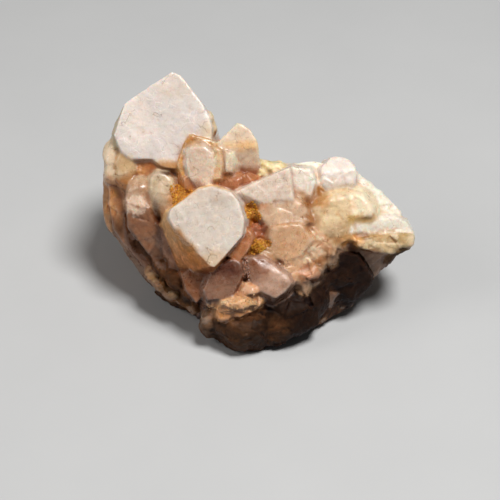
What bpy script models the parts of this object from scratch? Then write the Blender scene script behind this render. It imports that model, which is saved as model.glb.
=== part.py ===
"""A hand-sized quartz cluster: crystals grown side by side from a broken root of massive quartz.

All of it is one solid. Sizes are millimetres. Places are given in the cluster's own lie: across to the
right, up the slope that the crystals line, and out from that slope. The slope faces the front (-Y) and leans
back, and the finished solid stands on a flat patch of its broken underside, with its origin at the centre of
that footprint.
"""

import math
import random

import bmesh
import bpy
from mathutils import Matrix, Vector

MM = 0.001

# Driving dimensions
FACE_ELEVATION = 40.0  # the crystal-lined slope faces this many degrees above the horizon
FLOOR_BELOW = 13.3  # from the slope's zero point straight down to the surface that the cluster stands on
CENTRE_SHIFT = (-1.2, -4.5)  # brings the centre of the footprint to the origin, along X and Y
BLOCK = 90.0  # the uncut block that every crystal is faceted from
APEX_LEAN = math.radians(51.8)  # a quartz tip face's normal leans this far from the crystal's long axis
MINOR_BELOW = 0.8  # how far a crystal's minor tip faces start below its point, in half widths
FACET_SPREAD = 0.1  # how much the facets of a broken lump differ in depth, as a share of its radius
NEAR = 1e-5  # points closer to a cut than this lie on it

SINE = math.sin(math.radians(FACE_ELEVATION))
COSINE = math.cos(math.radians(FACE_ELEVATION))
OUT = Vector((0, 0, 1))
UPRIGHT = Vector((0, COSINE, SINE))
REAR = Vector((0, SINE, -COSINE))


def to_world():
    """The matrix from (across, up the slope, out) in millimetres to the part's frame in metres."""
    turn = Matrix(((1, 0, 0), (0, SINE, -COSINE), (0, COSINE, SINE))).to_4x4()
    shift = Matrix.Translation((CENTRE_SHIFT[0], CENTRE_SHIFT[1], FLOOR_BELOW))
    return Matrix.Scale(MM, 4) @ shift @ turn


def cut(bm, point, normal):
    """Slices away what lies beyond the plane and closes the face."""
    geometry = bm.verts[:] + bm.edges[:] + bm.faces[:]
    made = bmesh.ops.bisect_plane(
        bm, geom=geometry, plane_co=point, plane_no=normal, clear_outer=True, dist=NEAR
    )
    edges = [e for e in made["geom_cut"] if isinstance(e, bmesh.types.BMEdge)]
    if edges:
        bmesh.ops.contextual_create(bm, geom=edges)


def new_object(name, bm, collection):
    mesh = bpy.data.meshes.new(name)
    bm.to_mesh(mesh)
    bm.free()
    made = bpy.data.objects.new(name, mesh)
    collection.objects.link(made)
    return made


def block(outline, out, leans, tilt=(0, 0), rear=12.0, cuts=(), tip=None):
    """A crystal or a broken lump whose broad face looks out of the slope.

    outline goes round the face as (across, up) points, with no hollow corner, at height out, and the face
    rises by tilt per millimetre across and up. Each side leans open by its angle behind the face: 0 drops
    straight back into the slope, 50 is upright, as the sides of the prism below a tip are. The three rear
    walls stand upright, rear behind the face's middle. cuts are further facets (point, point, lean), such as
    the bevels of a stepped tip. With a tip (across, up, out), the tip's three rear faces start there.
    """
    centre = sum((Vector(p) for p in outline), Vector((0, 0))) / len(outline)

    def on_face(p):
        offset = Vector(p) - centre
        return Vector((p[0], p[1], out + offset.x * tilt[0] + offset.y * tilt[1]))

    normal = Vector((-tilt[0], -tilt[1], 1)).normalized()
    middle = on_face(centre)
    bm = bmesh.new()
    bmesh.ops.create_cube(bm, size=BLOCK, matrix=Matrix.Translation(middle))
    cut(bm, middle, normal)
    for turn in (-60, 0, 60):
        behind = Matrix.Rotation(math.radians(turn), 3, UPRIGHT) @ REAR
        cut(bm, middle + behind * rear, behind)
        if tip:
            cut(bm, Vector(tip), UPRIGHT * math.cos(APEX_LEAN) + behind * math.sin(APEX_LEAN))
    if not isinstance(leans, (list, tuple)):
        leans = [leans] * len(outline)
    ends = outline[1:] + outline[:1]
    for p, q, lean in [*zip(outline, ends, leans), *cuts]:
        start, along = on_face(p), (on_face(q) - on_face(p)).normalized()
        outward = along.cross(OUT).normalized()
        if outward.dot(start - middle) < 0:
            outward = -outward
        ahead = (OUT - along * along.dot(OUT)).normalized()
        angle = math.radians(lean)
        cut(bm, start, outward * math.cos(angle) + ahead * math.sin(angle))
    return bm


def prism(tip, axis, half, length, spin=0.0):
    """A six-sided quartz crystal with its point at tip, three large tip faces and three minor ones.

    half is its half width, or (front, right, back, left).
    """
    front, right, rear, left = half if isinstance(half, (list, tuple)) else [half] * 4
    axis, tip = Vector(axis).normalized(), Vector(tip)
    ahead = (OUT - axis * axis.dot(OUT)).normalized()
    ahead = Matrix.Rotation(math.radians(spin), 3, axis) @ ahead
    aside = axis.cross(ahead)
    minor_below = MINOR_BELOW * (front + right + rear + left) / 4
    bm = bmesh.new()
    bmesh.ops.create_cube(bm, size=BLOCK, matrix=Matrix.Translation(tip))
    cut(bm, tip - axis * length, -axis)
    for i, reach in enumerate((front, left, left, rear, right, right)):
        angle = math.radians(60 * i)
        direction = ahead * math.cos(angle) + aside * math.sin(angle)
        cut(bm, tip + direction * reach, direction)
        lean = axis * math.cos(APEX_LEAN) + direction * math.sin(APEX_LEAN)
        cut(bm, tip - axis * (minor_below if i % 2 else 0), lean)
    return bm


def rock(centre, radii, turn=0.0, facets=18, depth=0.80, seed=1, detail=2):
    """A lump of massive quartz: a ball stretched to radii and turned about the outward axis, with facets."""
    pick = random.Random(seed)
    bm = bmesh.new()
    place = (
        Matrix.Translation(centre)
        @ Matrix.Rotation(math.radians(turn), 4, "Z")
        @ Matrix.Diagonal((*radii, 1))
    )
    bmesh.ops.create_icosphere(bm, subdivisions=detail, radius=1)
    for _ in range(facets):
        direction = Vector([pick.gauss(0, 1) for _ in range(3)]).normalized()
        cut(bm, direction * (depth + pick.uniform(-FACET_SPREAD, FACET_SPREAD)), direction)
    bm.transform(place)
    return bm


def shapes():
    """Every crystal and lump by name, in the cluster's own lie."""
    made = {}
    # The great crystal at the upper left, its broad face outward and its point at the top
    made["giant"] = block(
        [(-15.8, 36.0), (-14.0, 35.2), (-10.0, 30.2), (-8.4, 27.6), (-7.6, 24.6), (-8.0, 20.2),
         (-12.6, 18.4), (-23.4, 18.4), (-24.8, 18.9), (-26.2, 20.2), (-27.4, 23.2), (-26.4, 26.6),
         (-25.4, 29.4), (-24.0, 30.6)],
        7.6, [2, 2, 3, 4, 6, 20, 25, 20, 20, 8, 4, 2, 2, 2], tilt=(0.03, -0.04), rear=15,
        tip=(-16.4, 38.6, 3.6),
    )
    made["giant_chin"] = block(
        [(-19.8, 18.6), (-18.4, 17.2), (-16.8, 16.6), (-15.2, 16.4), (-14.0, 16.9), (-12.8, 18.6),
         (-16.0, 20.4)],
        8.0, [20, 20, 20, 20, 20, 20, 30], tilt=(0.03, -0.04), rear=6,
    )
    made["shoulder"] = block(
        [(-28.0, 24.8), (-25.8, 29.6), (-24.4, 29.6), (-24.4, 20.4), (-28.2, 20.8), (-28.4, 22.8)],
        4.0, [2, 2, 20, 20, 2, 2], rear=12,
    )
    made["lobe_left"] = block(
        [(-29.8, 15.8), (-29.6, 18.2), (-28.0, 22.4), (-26.0, 22.0), (-25.2, 19.2), (-24.8, 15.8),
         (-26.4, 14.2), (-29.2, 14.2)],
        5.6, [2, 2, 15, 30, 30, 20, 10, 8], tilt=(0.25, 0), rear=13,
    )
    made["lobe_right"] = block(
        [(-26.2, 20.2), (-24.2, 18.8), (-23.4, 16.6), (-24.6, 14.6), (-26.6, 15.0), (-27.4, 17.6)],
        7.0, [30, 30, 40, 45, 5, 5],
    )
    # The stepped crystal below the giant's right edge
    made["window_body"] = block(
        [(-12.0, 23.2), (-9.0, 22.4), (-5.6, 21.2), (-3.4, 19.6), (-2.8, 17.4), (-4.0, 14.8), (-10.2, 12.0),
         (-13.0, 13.2), (-14.6, 17.0), (-12.8, 22.0)],
        8.8, [5, 8, 12, 20, 25, 30, 30, 25, 20, 10],
    )
    made["window_face"] = block(
        [(-12.0, 20.4), (-9.0, 20.6), (-7.6, 19.4), (-7.0, 17.6), (-7.4, 14.4), (-8.6, 12.6), (-10.2, 12.0),
         (-12.0, 14.4), (-12.6, 16.4), (-12.6, 19.6)],
        10.0, [50, 35, 32, 32, 30, 25, 25, 30, 35, 40], rear=5,
    )
    made["window_ridge"] = block(
        [(-7.2, 20.4), (-6.0, 20.0), (-5.6, 17.6), (-6.0, 14.4), (-7.2, 14.0)], 9.8, 28, rear=5
    )
    made["window_step"] = block(
        [(-4.8, 19.6), (-3.6, 19.2), (-3.2, 17.4), (-3.8, 15.6), (-4.8, 15.6)], 9.9, 25, rear=5
    )
    made["window_heel"] = block(
        [(-13.4, 14.4), (-12.4, 14.6), (-10.6, 12.4), (-11.4, 11.8), (-13.0, 12.4)], 9.4, 25, rear=6
    )
    # The upright crystal right of it
    made["sentinel"] = block(
        [(-6.4, 21.8), (-2.6, 25.5), (-1.4, 25.2), (0.2, 24.0), (1.4, 22.0), (1.8, 20.2), (2.0, 15.0),
         (-5.6, 15.0)],
        9.0, [3, 2, 0, 0, 0, 0, 55, 15], cuts=[((1.9, 20.6), (-5.0, 20.2), 62)], tip=(-2.0, 26.4, 7.0),
    )
    # The crystal nearest the front, its rhombic face outward
    made["rhomb"] = block(
        [(-15.6, 8.0), (-10.2, 12.0), (-7.6, 12.6), (-3.6, 11.4), (-2.2, 9.4), (-1.2, 6.0), (-1.6, 2.6),
         (-6.8, -3.4), (-7.8, -3.2), (-15.0, 4.4), (-16.0, 6.4)],
        15.5, [5, 5, 5, 8, 10, 10, 3, 16, 28, 18, 12], tilt=(0, -0.05), rear=18,
        cuts=[((-14.4, 8.6), (-3.6, 10.8), 74)],
    )
    # Two blunt fingers at the left
    made["finger_right"] = block(
        [(-18.6, 15.8), (-17.0, 15.4), (-15.8, 14.2), (-15.2, 12.0), (-15.0, 9.6), (-16.4, 8.8),
         (-19.4, 10.2), (-20.2, 12.4), (-20.0, 14.6)],
        9.0, [15, 20, 20, 15, 15, 45, 25, 15, 15],
    )
    made["finger_left"] = block(
        [(-23.4, 14.4), (-20.8, 14.8), (-20.0, 12.0), (-19.8, 8.6), (-22.0, 7.6), (-24.6, 8.4),
         (-25.2, 10.0), (-24.4, 13.2)],
        7.8, [15, 15, 15, 30, 44, 10, 8, 8], cuts=[((-25.2, 12.0), (-20.0, 12.0), 68)],
    )
    # Long sides of the crystals that make up the left flank
    made["flank_rim"] = block(
        [(-30.6, 16.2), (-29.0, 15.6), (-27.8, 12.4), (-27.8, 5.0), (-28.6, 3.6), (-30.0, 5.2),
         (-30.8, 9.2)],
        -1.0, [4, 20, 15, 15, 4, 2, 2], tilt=(0.8, 0),
    )
    made["flank_edge"] = block(
        [(-28.6, 5.6), (-26.4, 4.4), (-20.6, -4.6), (-21.4, -6.4), (-23.4, -4.0), (-25.2, -1.4),
         (-28.4, 3.8)],
        -0.6, [10, 20, 10, 4, 2, 2, 2], tilt=(0.6, 0.4),
    )
    made["flank_side"] = block(
        [(-28.8, 14.4), (-26.2, 14.8), (-25.4, 11.8), (-25.0, 5.0), (-25.6, 0.8), (-28.2, 4.6),
         (-29.0, 9.0)],
        2.5, [5, 20, 20, 20, 5, 5, 8], tilt=(0.3, 0.2),
    )
    made["flank_shin"] = block(
        [(-25.8, 7.0), (-18.4, -3.2), (-17.2, -6.2), (-20.4, -5.2), (-25.6, 0.8)],
        2.4, [20, 20, 0, 2, 2], tilt=(0.3, 0.3),
    )
    made["flank_front"] = block(
        [(-25.0, 9.2), (-20.4, 8.6), (-14.6, -6.4), (-18.2, -3.6), (-22.4, 1.2), (-24.8, 4.8)],
        6.0, [40, 20, 8, 5, 4, 4], tilt=(0.1, 0.4),
    )
    made["flank_inner"] = block(
        [(-18.2, 4.6), (-15.2, 3.6), (-11.0, -7.8), (-14.2, -6.8), (-17.8, 0.0)],
        6.9, [30, 15, 12, 12, 25], tilt=(0.3, 0.4),
    )
    made["flank_heel"] = block(
        [(-20.6, -5.0), (-17.4, -4.2), (-13.4, -7.0), (-10.4, -12.8), (-11.0, -13.6), (-16.6, -11.2),
         (-19.0, -8.8)],
        0.4, [10, 20, 20, 5, 5, 5, 5], tilt=(0.2, 0.7),
    )
    # Pink crystals below the rhomb
    made["pink_wedge"] = block(
        [(-13.8, -5.0), (-9.0, -2.4), (-8.4, -5.0), (-9.8, -9.6), (-10.8, -10.6), (-13.0, -8.0)],
        9.4, [25, 15, 15, 5, 4, 6], tilt=(0.1, 0.1),
    )
    made["pink_left"] = block(
        [(-7.6, -4.0), (-4.0, -2.0), (-1.8, -2.6), (-1.6, -5.0), (-3.6, -9.4), (-8.4, -10.0), (-9.2, -8.0)],
        12.4, 15, tilt=(0, 0.05),
    )
    made["pink_slip"] = block(
        [(-1.2, 4.8), (0.2, 3.6), (0.8, 2.4), (-0.8, -0.6), (-2.2, -2.4), (-4.4, -1.2), (-4.6, 0.4)],
        12.4, 12,
    )
    made["pink_point"] = block(
        [(-0.8, -1.6), (2.4, -1.4), (5.4, -3.4), (7.6, -5.0), (8.2, -6.6), (6.8, -8.4), (5.2, -9.6),
         (2.4, -8.4), (0.6, -6.0), (-0.8, -4.0)],
        12.6, [10, 15, 15, 15, 15, 15, 25, 20, 20, 20],
        cuts=[((1.2, -1.8), (2.6, -8.6), 68), ((1.0, -2.8), (7.8, -6.0), 72)],
    )
    made["pink_cap"] = block([(1.4, 0.0), (2.8, 1.0), (4.8, 0.2), (5.6, -2.0), (2.4, -1.6)], 11.0, 25)
    # The long crystal that lies across the middle, and those it leans on
    made["long_top"] = block(
        [(-2.6, 11.6), (2.4, 14.2), (8.0, 16.6), (8.6, 10.4), (1.8, 9.8)],
        11.2, [12, 4, 10, 55, 40], tilt=(0.02, -0.05),
    )
    made["long_low"] = block(
        [(2.4, 9.8), (8.4, 10.4), (10.6, 9.0), (12.4, 5.6), (9.4, 4.6), (4.4, 4.2), (1.6, 7.0)],
        10.9, [20, 20, 25, 30, 30, 25, 25], tilt=(0, 0.04),
    )
    made["flat_face"] = block(
        [(4.2, 4.6), (10.0, 5.2), (12.4, 2.0), (10.0, -1.2), (6.6, -2.4), (5.0, -0.4), (3.6, 2.4)],
        11.2, 25, tilt=(0.03, 0.12),
    )
    made["corner"] = block(
        [(8.2, 16.6), (12.0, 16.4), (13.2, 13.6), (12.4, 10.8), (9.2, 10.2), (8.0, 13.0)],
        9.2, [8, 15, 15, 40, 50, 15],
    )
    made["bright_back"] = block(
        [(8.0, 17.2), (10.2, 17.9), (12.8, 18.1), (15.0, 17.7), (15.2, 14.6), (8.0, 14.6)],
        4.6, [0, 0, 0, 10, 40, 10], tilt=(0, -0.3), rear=9,
    )
    made["knob"] = block(
        [(14.4, 16.4), (15.8, 18.6), (17.0, 19.0), (18.6, 18.9), (20.2, 18.3), (21.2, 17.2), (21.6, 15.4),
         (21.0, 12.8), (19.4, 11.4), (17.8, 11.2), (15.8, 12.2), (14.4, 13.8)],
        7.4, [10, 2, 2, 2, 2, 4, 15, 30, 40, 40, 30, 20], rear=10, cuts=[((14.0, 15.4), (22.0, 16.6), 60)],
        tip=(18.0, 20.4, 5.0),
    )
    # The mass at the right, lumpy and overhanging
    made["mass_cheek"] = block(
        [(13.0, 8.4), (16.0, 10.2), (19.0, 10.6), (20.2, 7.6), (20.8, 3.6), (18.2, 1.2), (15.2, 1.2),
         (12.4, 4.8)],
        9.5, [30, 35, 30, 20, 20, 25, 25, 35], tilt=(0.0, 0.1), rear=10,
    )
    made["mass_brow"] = block(
        [(18.8, 10.4), (20.2, 11.2), (22.4, 11.2), (24.8, 8.8), (24.4, 7.0), (21.2, 6.2), (19.6, 7.0)],
        9.2, 30, tilt=(0.05, -0.1), rear=5,
    )
    made["mass_shoulder"] = block(
        [(20.4, 15.8), (22.0, 15.8), (24.0, 14.4), (26.4, 12.3), (28.6, 10.2), (31.0, 7.6), (30.4, 5.0),
         (26.0, 5.4), (22.0, 8.0), (20.0, 12.0)],
        5.4, [4, 2, 2, 2, 2, 4, 20, 30, 30, 25], tilt=(-0.35, -0.35), rear=9,
    )
    made["mass_shelf"] = block(
        [(20.2, 6.0), (30.2, 6.6), (32.2, 5.6), (33.4, 3.4), (33.2, 2.6), (28.6, 2.2), (23.8, 2.0),
         (20.2, 2.0)],
        6.8, [30, 10, 4, 2, 2, 10, 10, 10], tilt=(-0.3, 0.1), rear=8,
    )
    made["mass_lip"] = block(
        [(21.2, 2.0), (29.4, 3.2), (33.2, 2.6), (32.6, 0.4), (29.6, -1.0), (25.0, -0.4), (21.8, 0.6)],
        8.0, [30, 20, 4, 2, 0, 5, 10], tilt=(-0.25, 0.1), rear=8,
    )
    made["wing"] = block(
        [(17.0, 1.6), (22.0, 1.0), (30.0, -0.8), (29.4, -2.2), (27.6, -3.7), (25.4, -5.4), (20.0, -6.0)],
        3.4, [10, 10, 4, 0, 0, 0, 5], tilt=(-0.1, 0.9), rear=8,
    )
    # Broken glassy quartz between the flat-faced crystal and the mass
    made["apron"] = block(
        [(8.6, 4.8), (13.2, 4.3), (16.3, 2.0), (17.8, 0.8), (15.7, -2.4), (13.2, -4.6), (10.4, -7.0),
         (8.6, -5.6), (6.4, -2.4)],
        9.7, [20, 20, 30, 42, 42, 42, 40, 20, 20], tilt=(-0.22, 0.04), rear=10,
    )
    # Glassy crystals that break up the edge of the shaded underside
    for i, (tip, axis, half, length, spin) in enumerate((
        ((9.6, -2.6, 12.2), (0.30, -0.05, 0.95), (2.6, 2.4, 2.6, 2.4), 12, 10),
        ((13.4, -2.0, 11.0), (0.45, -0.05, 0.90), 2.4, 12, 35),
        ((11.6, -6.0, 9.6), (0.35, -0.30, 0.88), 2.2, 12, 0),
        ((15.6, 1.2, 10.4), (0.30, 0.10, 0.95), 2.6, 12, 50),
        ((1.6, 3.6, 9.4), (0.10, 0.20, 0.97), 1.7, 8, 15),
        ((3.2, 2.6, 9.8), (0.25, -0.10, 0.96), 1.6, 8, 40),
        ((0.2, 5.6, 9.2), (-0.20, 0.30, 0.94), 1.2, 8, 0),
    )):
        made[f"glassy_{i}"] = prism(tip, axis, half, length, spin)
    # Crystals on the rear, turned away from the slope
    for i, (tip, axis, half, length, spin) in enumerate((
        ((-27.2, 26.0, -9.0), (-0.20, 0.96, 0.10), 3.4, 26, 10),
        ((-20.0, 26.4, -15.0), (0.05, 0.97, -0.10), 4.6, 26, 25),
        ((-11.0, 25.0, -14.6), (0.15, 0.95, -0.20), 3.4, 24, 40),
        ((-3.6, 22.4, -9.0), (0.05, 0.95, 0.10), 5.0, 24, 5),
        ((3.0, 17.4, -12.0), (0.10, 0.93, -0.30), 3.6, 22, 35),
        ((9.0, 18.4, -5.6), (0.15, 0.95, 0.20), 4.4, 24, 20),
        ((14.6, 15.6, -10.0), (0.30, 0.90, -0.20), 3.6, 22, 0),
        ((22.6, 14.0, -4.6), (0.40, 0.85, 0.10), 4.2, 20, 50),
    )):
        made[f"rear_{i}"] = prism(tip, axis, half, length, spin)
    # Massive quartz: the root, the shaded underside and the foot
    made["belly_right"] = block(
        [(13.0, 0.0), (22.0, -1.0), (25.0, -5.6), (24.6, -7.6), (22.8, -9.8), (20.4, -12.0), (15.4, -13.8),
         (9.0, -14.4), (7.4, -8.2)],
        2.0, [10, 10, 2, 2, 2, 2, 2, 10, 10], tilt=(0.05, 0.8), rear=14,
    )
    made["belly_step"] = block(
        [(12.9, -8.4), (15.0, -8.2), (17.6, -9.0), (16.4, -11.4), (13.9, -10.4)],
        3.4, 20, tilt=(0.1, 0.5), rear=8,
    )
    for name, centre, radii, turn, seed in (
        ("core", (-4.0, 6.0, -4.0), (20, 13, 13), 0, 3),
        ("core_left", (-17.0, 8.0, -4.0), (9, 14, 10), 12, 4),
        ("core_right", (14.0, 5.0, -1.0), (14, 9, 9), -6, 5),
        ("belly", (6.0, -12.6, 0.6), (10.8, 8.0, 9.2), 10, 10),
        ("foot", (-1.8, -15.2, 3.4), (7.2, 7.4, 7.6), 0, 11),
        ("toe", (-8.2, -14.8, 3.8), (2.9, 3.7, 4.4), 10, 12),
        ("ledge", (-2.6, -10.6, 9.0), (6.0, 2.6, 4.4), 8, 13),
        ("ledge_root", (-1.6, -13.2, 5.6), (6.4, 4.2, 4.8), 8, 23),
        ("crumb_lump", (0.2, -8.0, 10.6), (2.6, 2.0, 3.0), 0, 14),
        ("green_knob_0", (2.9, 17.4, 4.6), (1.5, 1.3, 3.0), 0, 15),
        ("green_knob_1", (5.2, 16.6, 4.8), (2.4, 2.0, 3.0), 0, 16),
        ("green_knob_2", (7.2, 15.8, 4.8), (1.6, 1.6, 3.0), 0, 17),
        ("lump_low", (11.2, -4.4, 7.4), (3.2, 2.4, 3.4), 0, 18),
        ("rear_root_0", (-15.0, 12.4, -19.0), (9.0, 6.0, 7.0), 0, 19),
        ("rear_root_1", (-1.0, 9.6, -17.4), (9.0, 6.0, 6.0), 0, 20),
        ("rear_root_2", (12.0, 8.6, -12.4), (8.4, 6.0, 6.4), 0, 21),
        ("rear_root_3", (-24.0, 6.4, -11.0), (4.4, 7.0, 6.0), 0, 22),
    ):
        made[name] = rock(centre, radii, turn, seed=seed)
    return made


# The breaks that bound the root, behind and below, in the part's frame: a point and the way that each looks
BREAKS = (
    ((0, 28.5, 0), (0.0, 1.0, 0.05)),
    ((0, 24.0, 2.0), (0.05, 0.80, -0.60)),
    ((-22.0, 12.0, 2.0), (-0.60, 0.10, -0.80)),
    ((20.0, 8.0, 5.0), (0.55, 0.15, -0.82)),
    ((14.0, -13.0, 1.0), (0.45, -0.60, -0.66)),
)


def keep_outer_shell(bm):
    """Fills the pockets closed in between the crystals: only the shell with the most faces stays."""
    unseen, shells = set(bm.faces), []
    while unseen:
        shell, edge_of_shell = set(), [unseen.pop()]
        while edge_of_shell:
            face = edge_of_shell.pop()
            shell.add(face)
            near = {f for e in face.edges for f in e.link_faces} & unseen
            unseen -= near
            edge_of_shell.extend(near)
        shells.append(shell)
    shells.sort(key=len)
    inner = [f for shell in shells[:-1] for f in shell]
    bmesh.ops.delete(bm, geom=inner, context="FACES")


def fuse(made, collection):
    """Joins the shapes into one solid and stands it on a flat patch."""
    pieces = [new_object(name, bm, collection) for name, bm in made.items()]
    whole = pieces[0]
    for other in pieces[1:]:
        join = whole.modifiers.new("join", "BOOLEAN")
        join.operation = "UNION"
        join.object = other
        join.solver = "EXACT"
    graph = bpy.context.evaluated_depsgraph_get()
    mesh = bpy.data.meshes.new_from_object(whole.evaluated_get(graph))
    for piece in pieces:
        bpy.data.objects.remove(piece)
    bm = bmesh.new()
    bm.from_mesh(mesh)
    bm.transform(to_world())
    for point, direction in BREAKS:
        cut(bm, Vector(point) * MM, Vector(direction).normalized())
    cut(bm, Vector((0, 0, 0)), Vector((0, 0, -1)))
    keep_outer_shell(bm)
    bmesh.ops.triangulate(bm, faces=bm.faces[:])
    bm.to_mesh(mesh)
    bm.free()
    return mesh


def quartz():
    material = bpy.data.materials.new("milky_quartz")
    material.use_nodes = True
    shader = material.node_tree.nodes["Principled BSDF"]
    shader.inputs["Base Color"].default_value = (0.62, 0.50, 0.43, 1)
    shader.inputs["Roughness"].default_value = 0.35
    return material


def main():
    for old in list(bpy.data.objects):
        bpy.data.objects.remove(old)
    collection = bpy.data.collections.new("quartz_cluster")
    bpy.context.scene.collection.children.link(collection)
    mesh = fuse(shapes(), collection)
    cluster = bpy.data.objects.new("quartz_cluster", mesh)
    cluster.data.materials.clear()
    cluster.data.materials.append(quartz())
    collection.objects.link(cluster)


main()
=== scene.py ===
"""The quartz cluster's looks: one closed mesh that stands for the CAD solid, with its druse and crumbs.

The crystals are faceted as in the CAD source, in the cluster's own lie (across, up the slope, out from it)
in millimetres. They are fused, given relief and chips, and painted shape by shape. Then everything is
brought to metres in the part's frame.
"""

import math
import random
import bmesh
import bpy
import numpy as np
from mathutils import Matrix, Vector, noise
from mathutils.bvhtree import BVHTree
from mathutils.kdtree import KDTree


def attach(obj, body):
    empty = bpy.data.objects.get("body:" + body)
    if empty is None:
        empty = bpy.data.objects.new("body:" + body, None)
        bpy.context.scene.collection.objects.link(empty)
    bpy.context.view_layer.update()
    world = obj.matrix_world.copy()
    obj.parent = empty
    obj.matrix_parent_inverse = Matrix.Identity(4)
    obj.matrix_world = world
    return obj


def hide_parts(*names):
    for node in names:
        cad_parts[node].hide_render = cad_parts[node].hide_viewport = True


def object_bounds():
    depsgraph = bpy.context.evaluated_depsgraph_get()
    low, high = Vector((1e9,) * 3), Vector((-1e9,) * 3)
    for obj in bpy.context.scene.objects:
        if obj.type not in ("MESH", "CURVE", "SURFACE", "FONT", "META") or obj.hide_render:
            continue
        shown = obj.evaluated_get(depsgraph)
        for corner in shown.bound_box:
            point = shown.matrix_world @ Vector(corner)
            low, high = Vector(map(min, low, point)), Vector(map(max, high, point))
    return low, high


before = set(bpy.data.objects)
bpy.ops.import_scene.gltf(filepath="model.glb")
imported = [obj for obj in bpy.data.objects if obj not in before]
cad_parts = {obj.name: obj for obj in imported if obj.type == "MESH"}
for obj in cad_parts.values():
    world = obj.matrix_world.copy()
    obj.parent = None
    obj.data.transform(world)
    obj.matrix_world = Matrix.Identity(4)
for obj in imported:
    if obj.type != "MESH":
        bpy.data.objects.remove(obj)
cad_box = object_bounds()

NODE = "quartz_cluster"
MM = 0.001
VOXEL = 0.2  # size of the cells that fuse the shapes, mm
MOST_TRIANGLES = 192000
QUARTZ_IOR = 1.54
BOX_MARGIN = 0.002  # kept between the mesh and the CAD box, mm

FACE_ELEVATION = 40.0  # how far above level the camera looks from, square to the slope
FLOOR_BELOW = 13.3  # how far the floor is below the lie's origin
CENTRE_SHIFT = (-1.2, -4.5)  # where that origin is in the frame, across and to the rear
BLOCK = 90.0  # side of the cube that each crystal is cut from
APEX_LEAN = math.radians(51.8)  # of a quartz crystal's tip faces, from its axis
MINOR_BELOW = 0.8  # how far below the tip a crystal's minor faces start, as a share of its half width
FACET_SPREAD = 0.1  # how much the depth of a lump's facets varies, as a share of its radii
NEAR = 1e-5  # corners this near to a cut count as on it

SINE = math.sin(math.radians(FACE_ELEVATION))
COSINE = math.cos(math.radians(FACE_ELEVATION))
OUT = Vector((0, 0, 1))
UPRIGHT = Vector((0, COSINE, SINE))
REAR = Vector((0, SINE, -COSINE))
TURN = Matrix(((1, 0, 0), (0, SINE, -COSINE), (0, COSINE, SINE))).to_4x4()
PLACE = Matrix.Translation((*CENTRE_SHIFT, FLOOR_BELOW)) @ TURN  # from the own lie to the frame, in mm
BACK = PLACE.inverted()

# Relief: cells of broken and of grown quartz, as size in mm, slope and seed, and heights and depths in mm
BROKEN_CELLS = ((4.2, 0.30, 1), (1.7, 0.34, 2), (0.8, 0.30, 3))
GROWN_CELLS = ((2.6, 0.022, 4), (0.9, 0.03, 5))
BROKEN_SINK = 0.2
RIPPLE = 0.012
SWELL = 0.10
CHIP_DEPTH = 0.16
WEAR = 1.3  # rounds of smoothing times the square of VOXEL
SHARP = math.radians(40)

CAMERA_OUT = 310  # mm from the slope
LENS, SENSOR = 108, 36
CLIP = (0.01, 20)
AIM = (0, 0, 0.02)
LIGHTS = (
    ("key", (0.16, -0.12, 0.60), 0.20, 4.15, (1.0, 0.985, 0.96)),
    ("fill", (-0.45, -0.10, 0.34), 0.30, 0.85, (1.0, 0.96, 0.92)),
)
ROOM_COLOUR, ROOM_LIGHT = (1.0, 0.97, 0.94, 1), 0.07
FLOOR_HALF = 3.0
FLOOR_SHADES = ((0.50, 0.51, 0.52, 1), (0.54, 0.55, 0.56, 1))
GRAINS_FROM = 40  # mm above the slope, from where the grains fall

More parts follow.
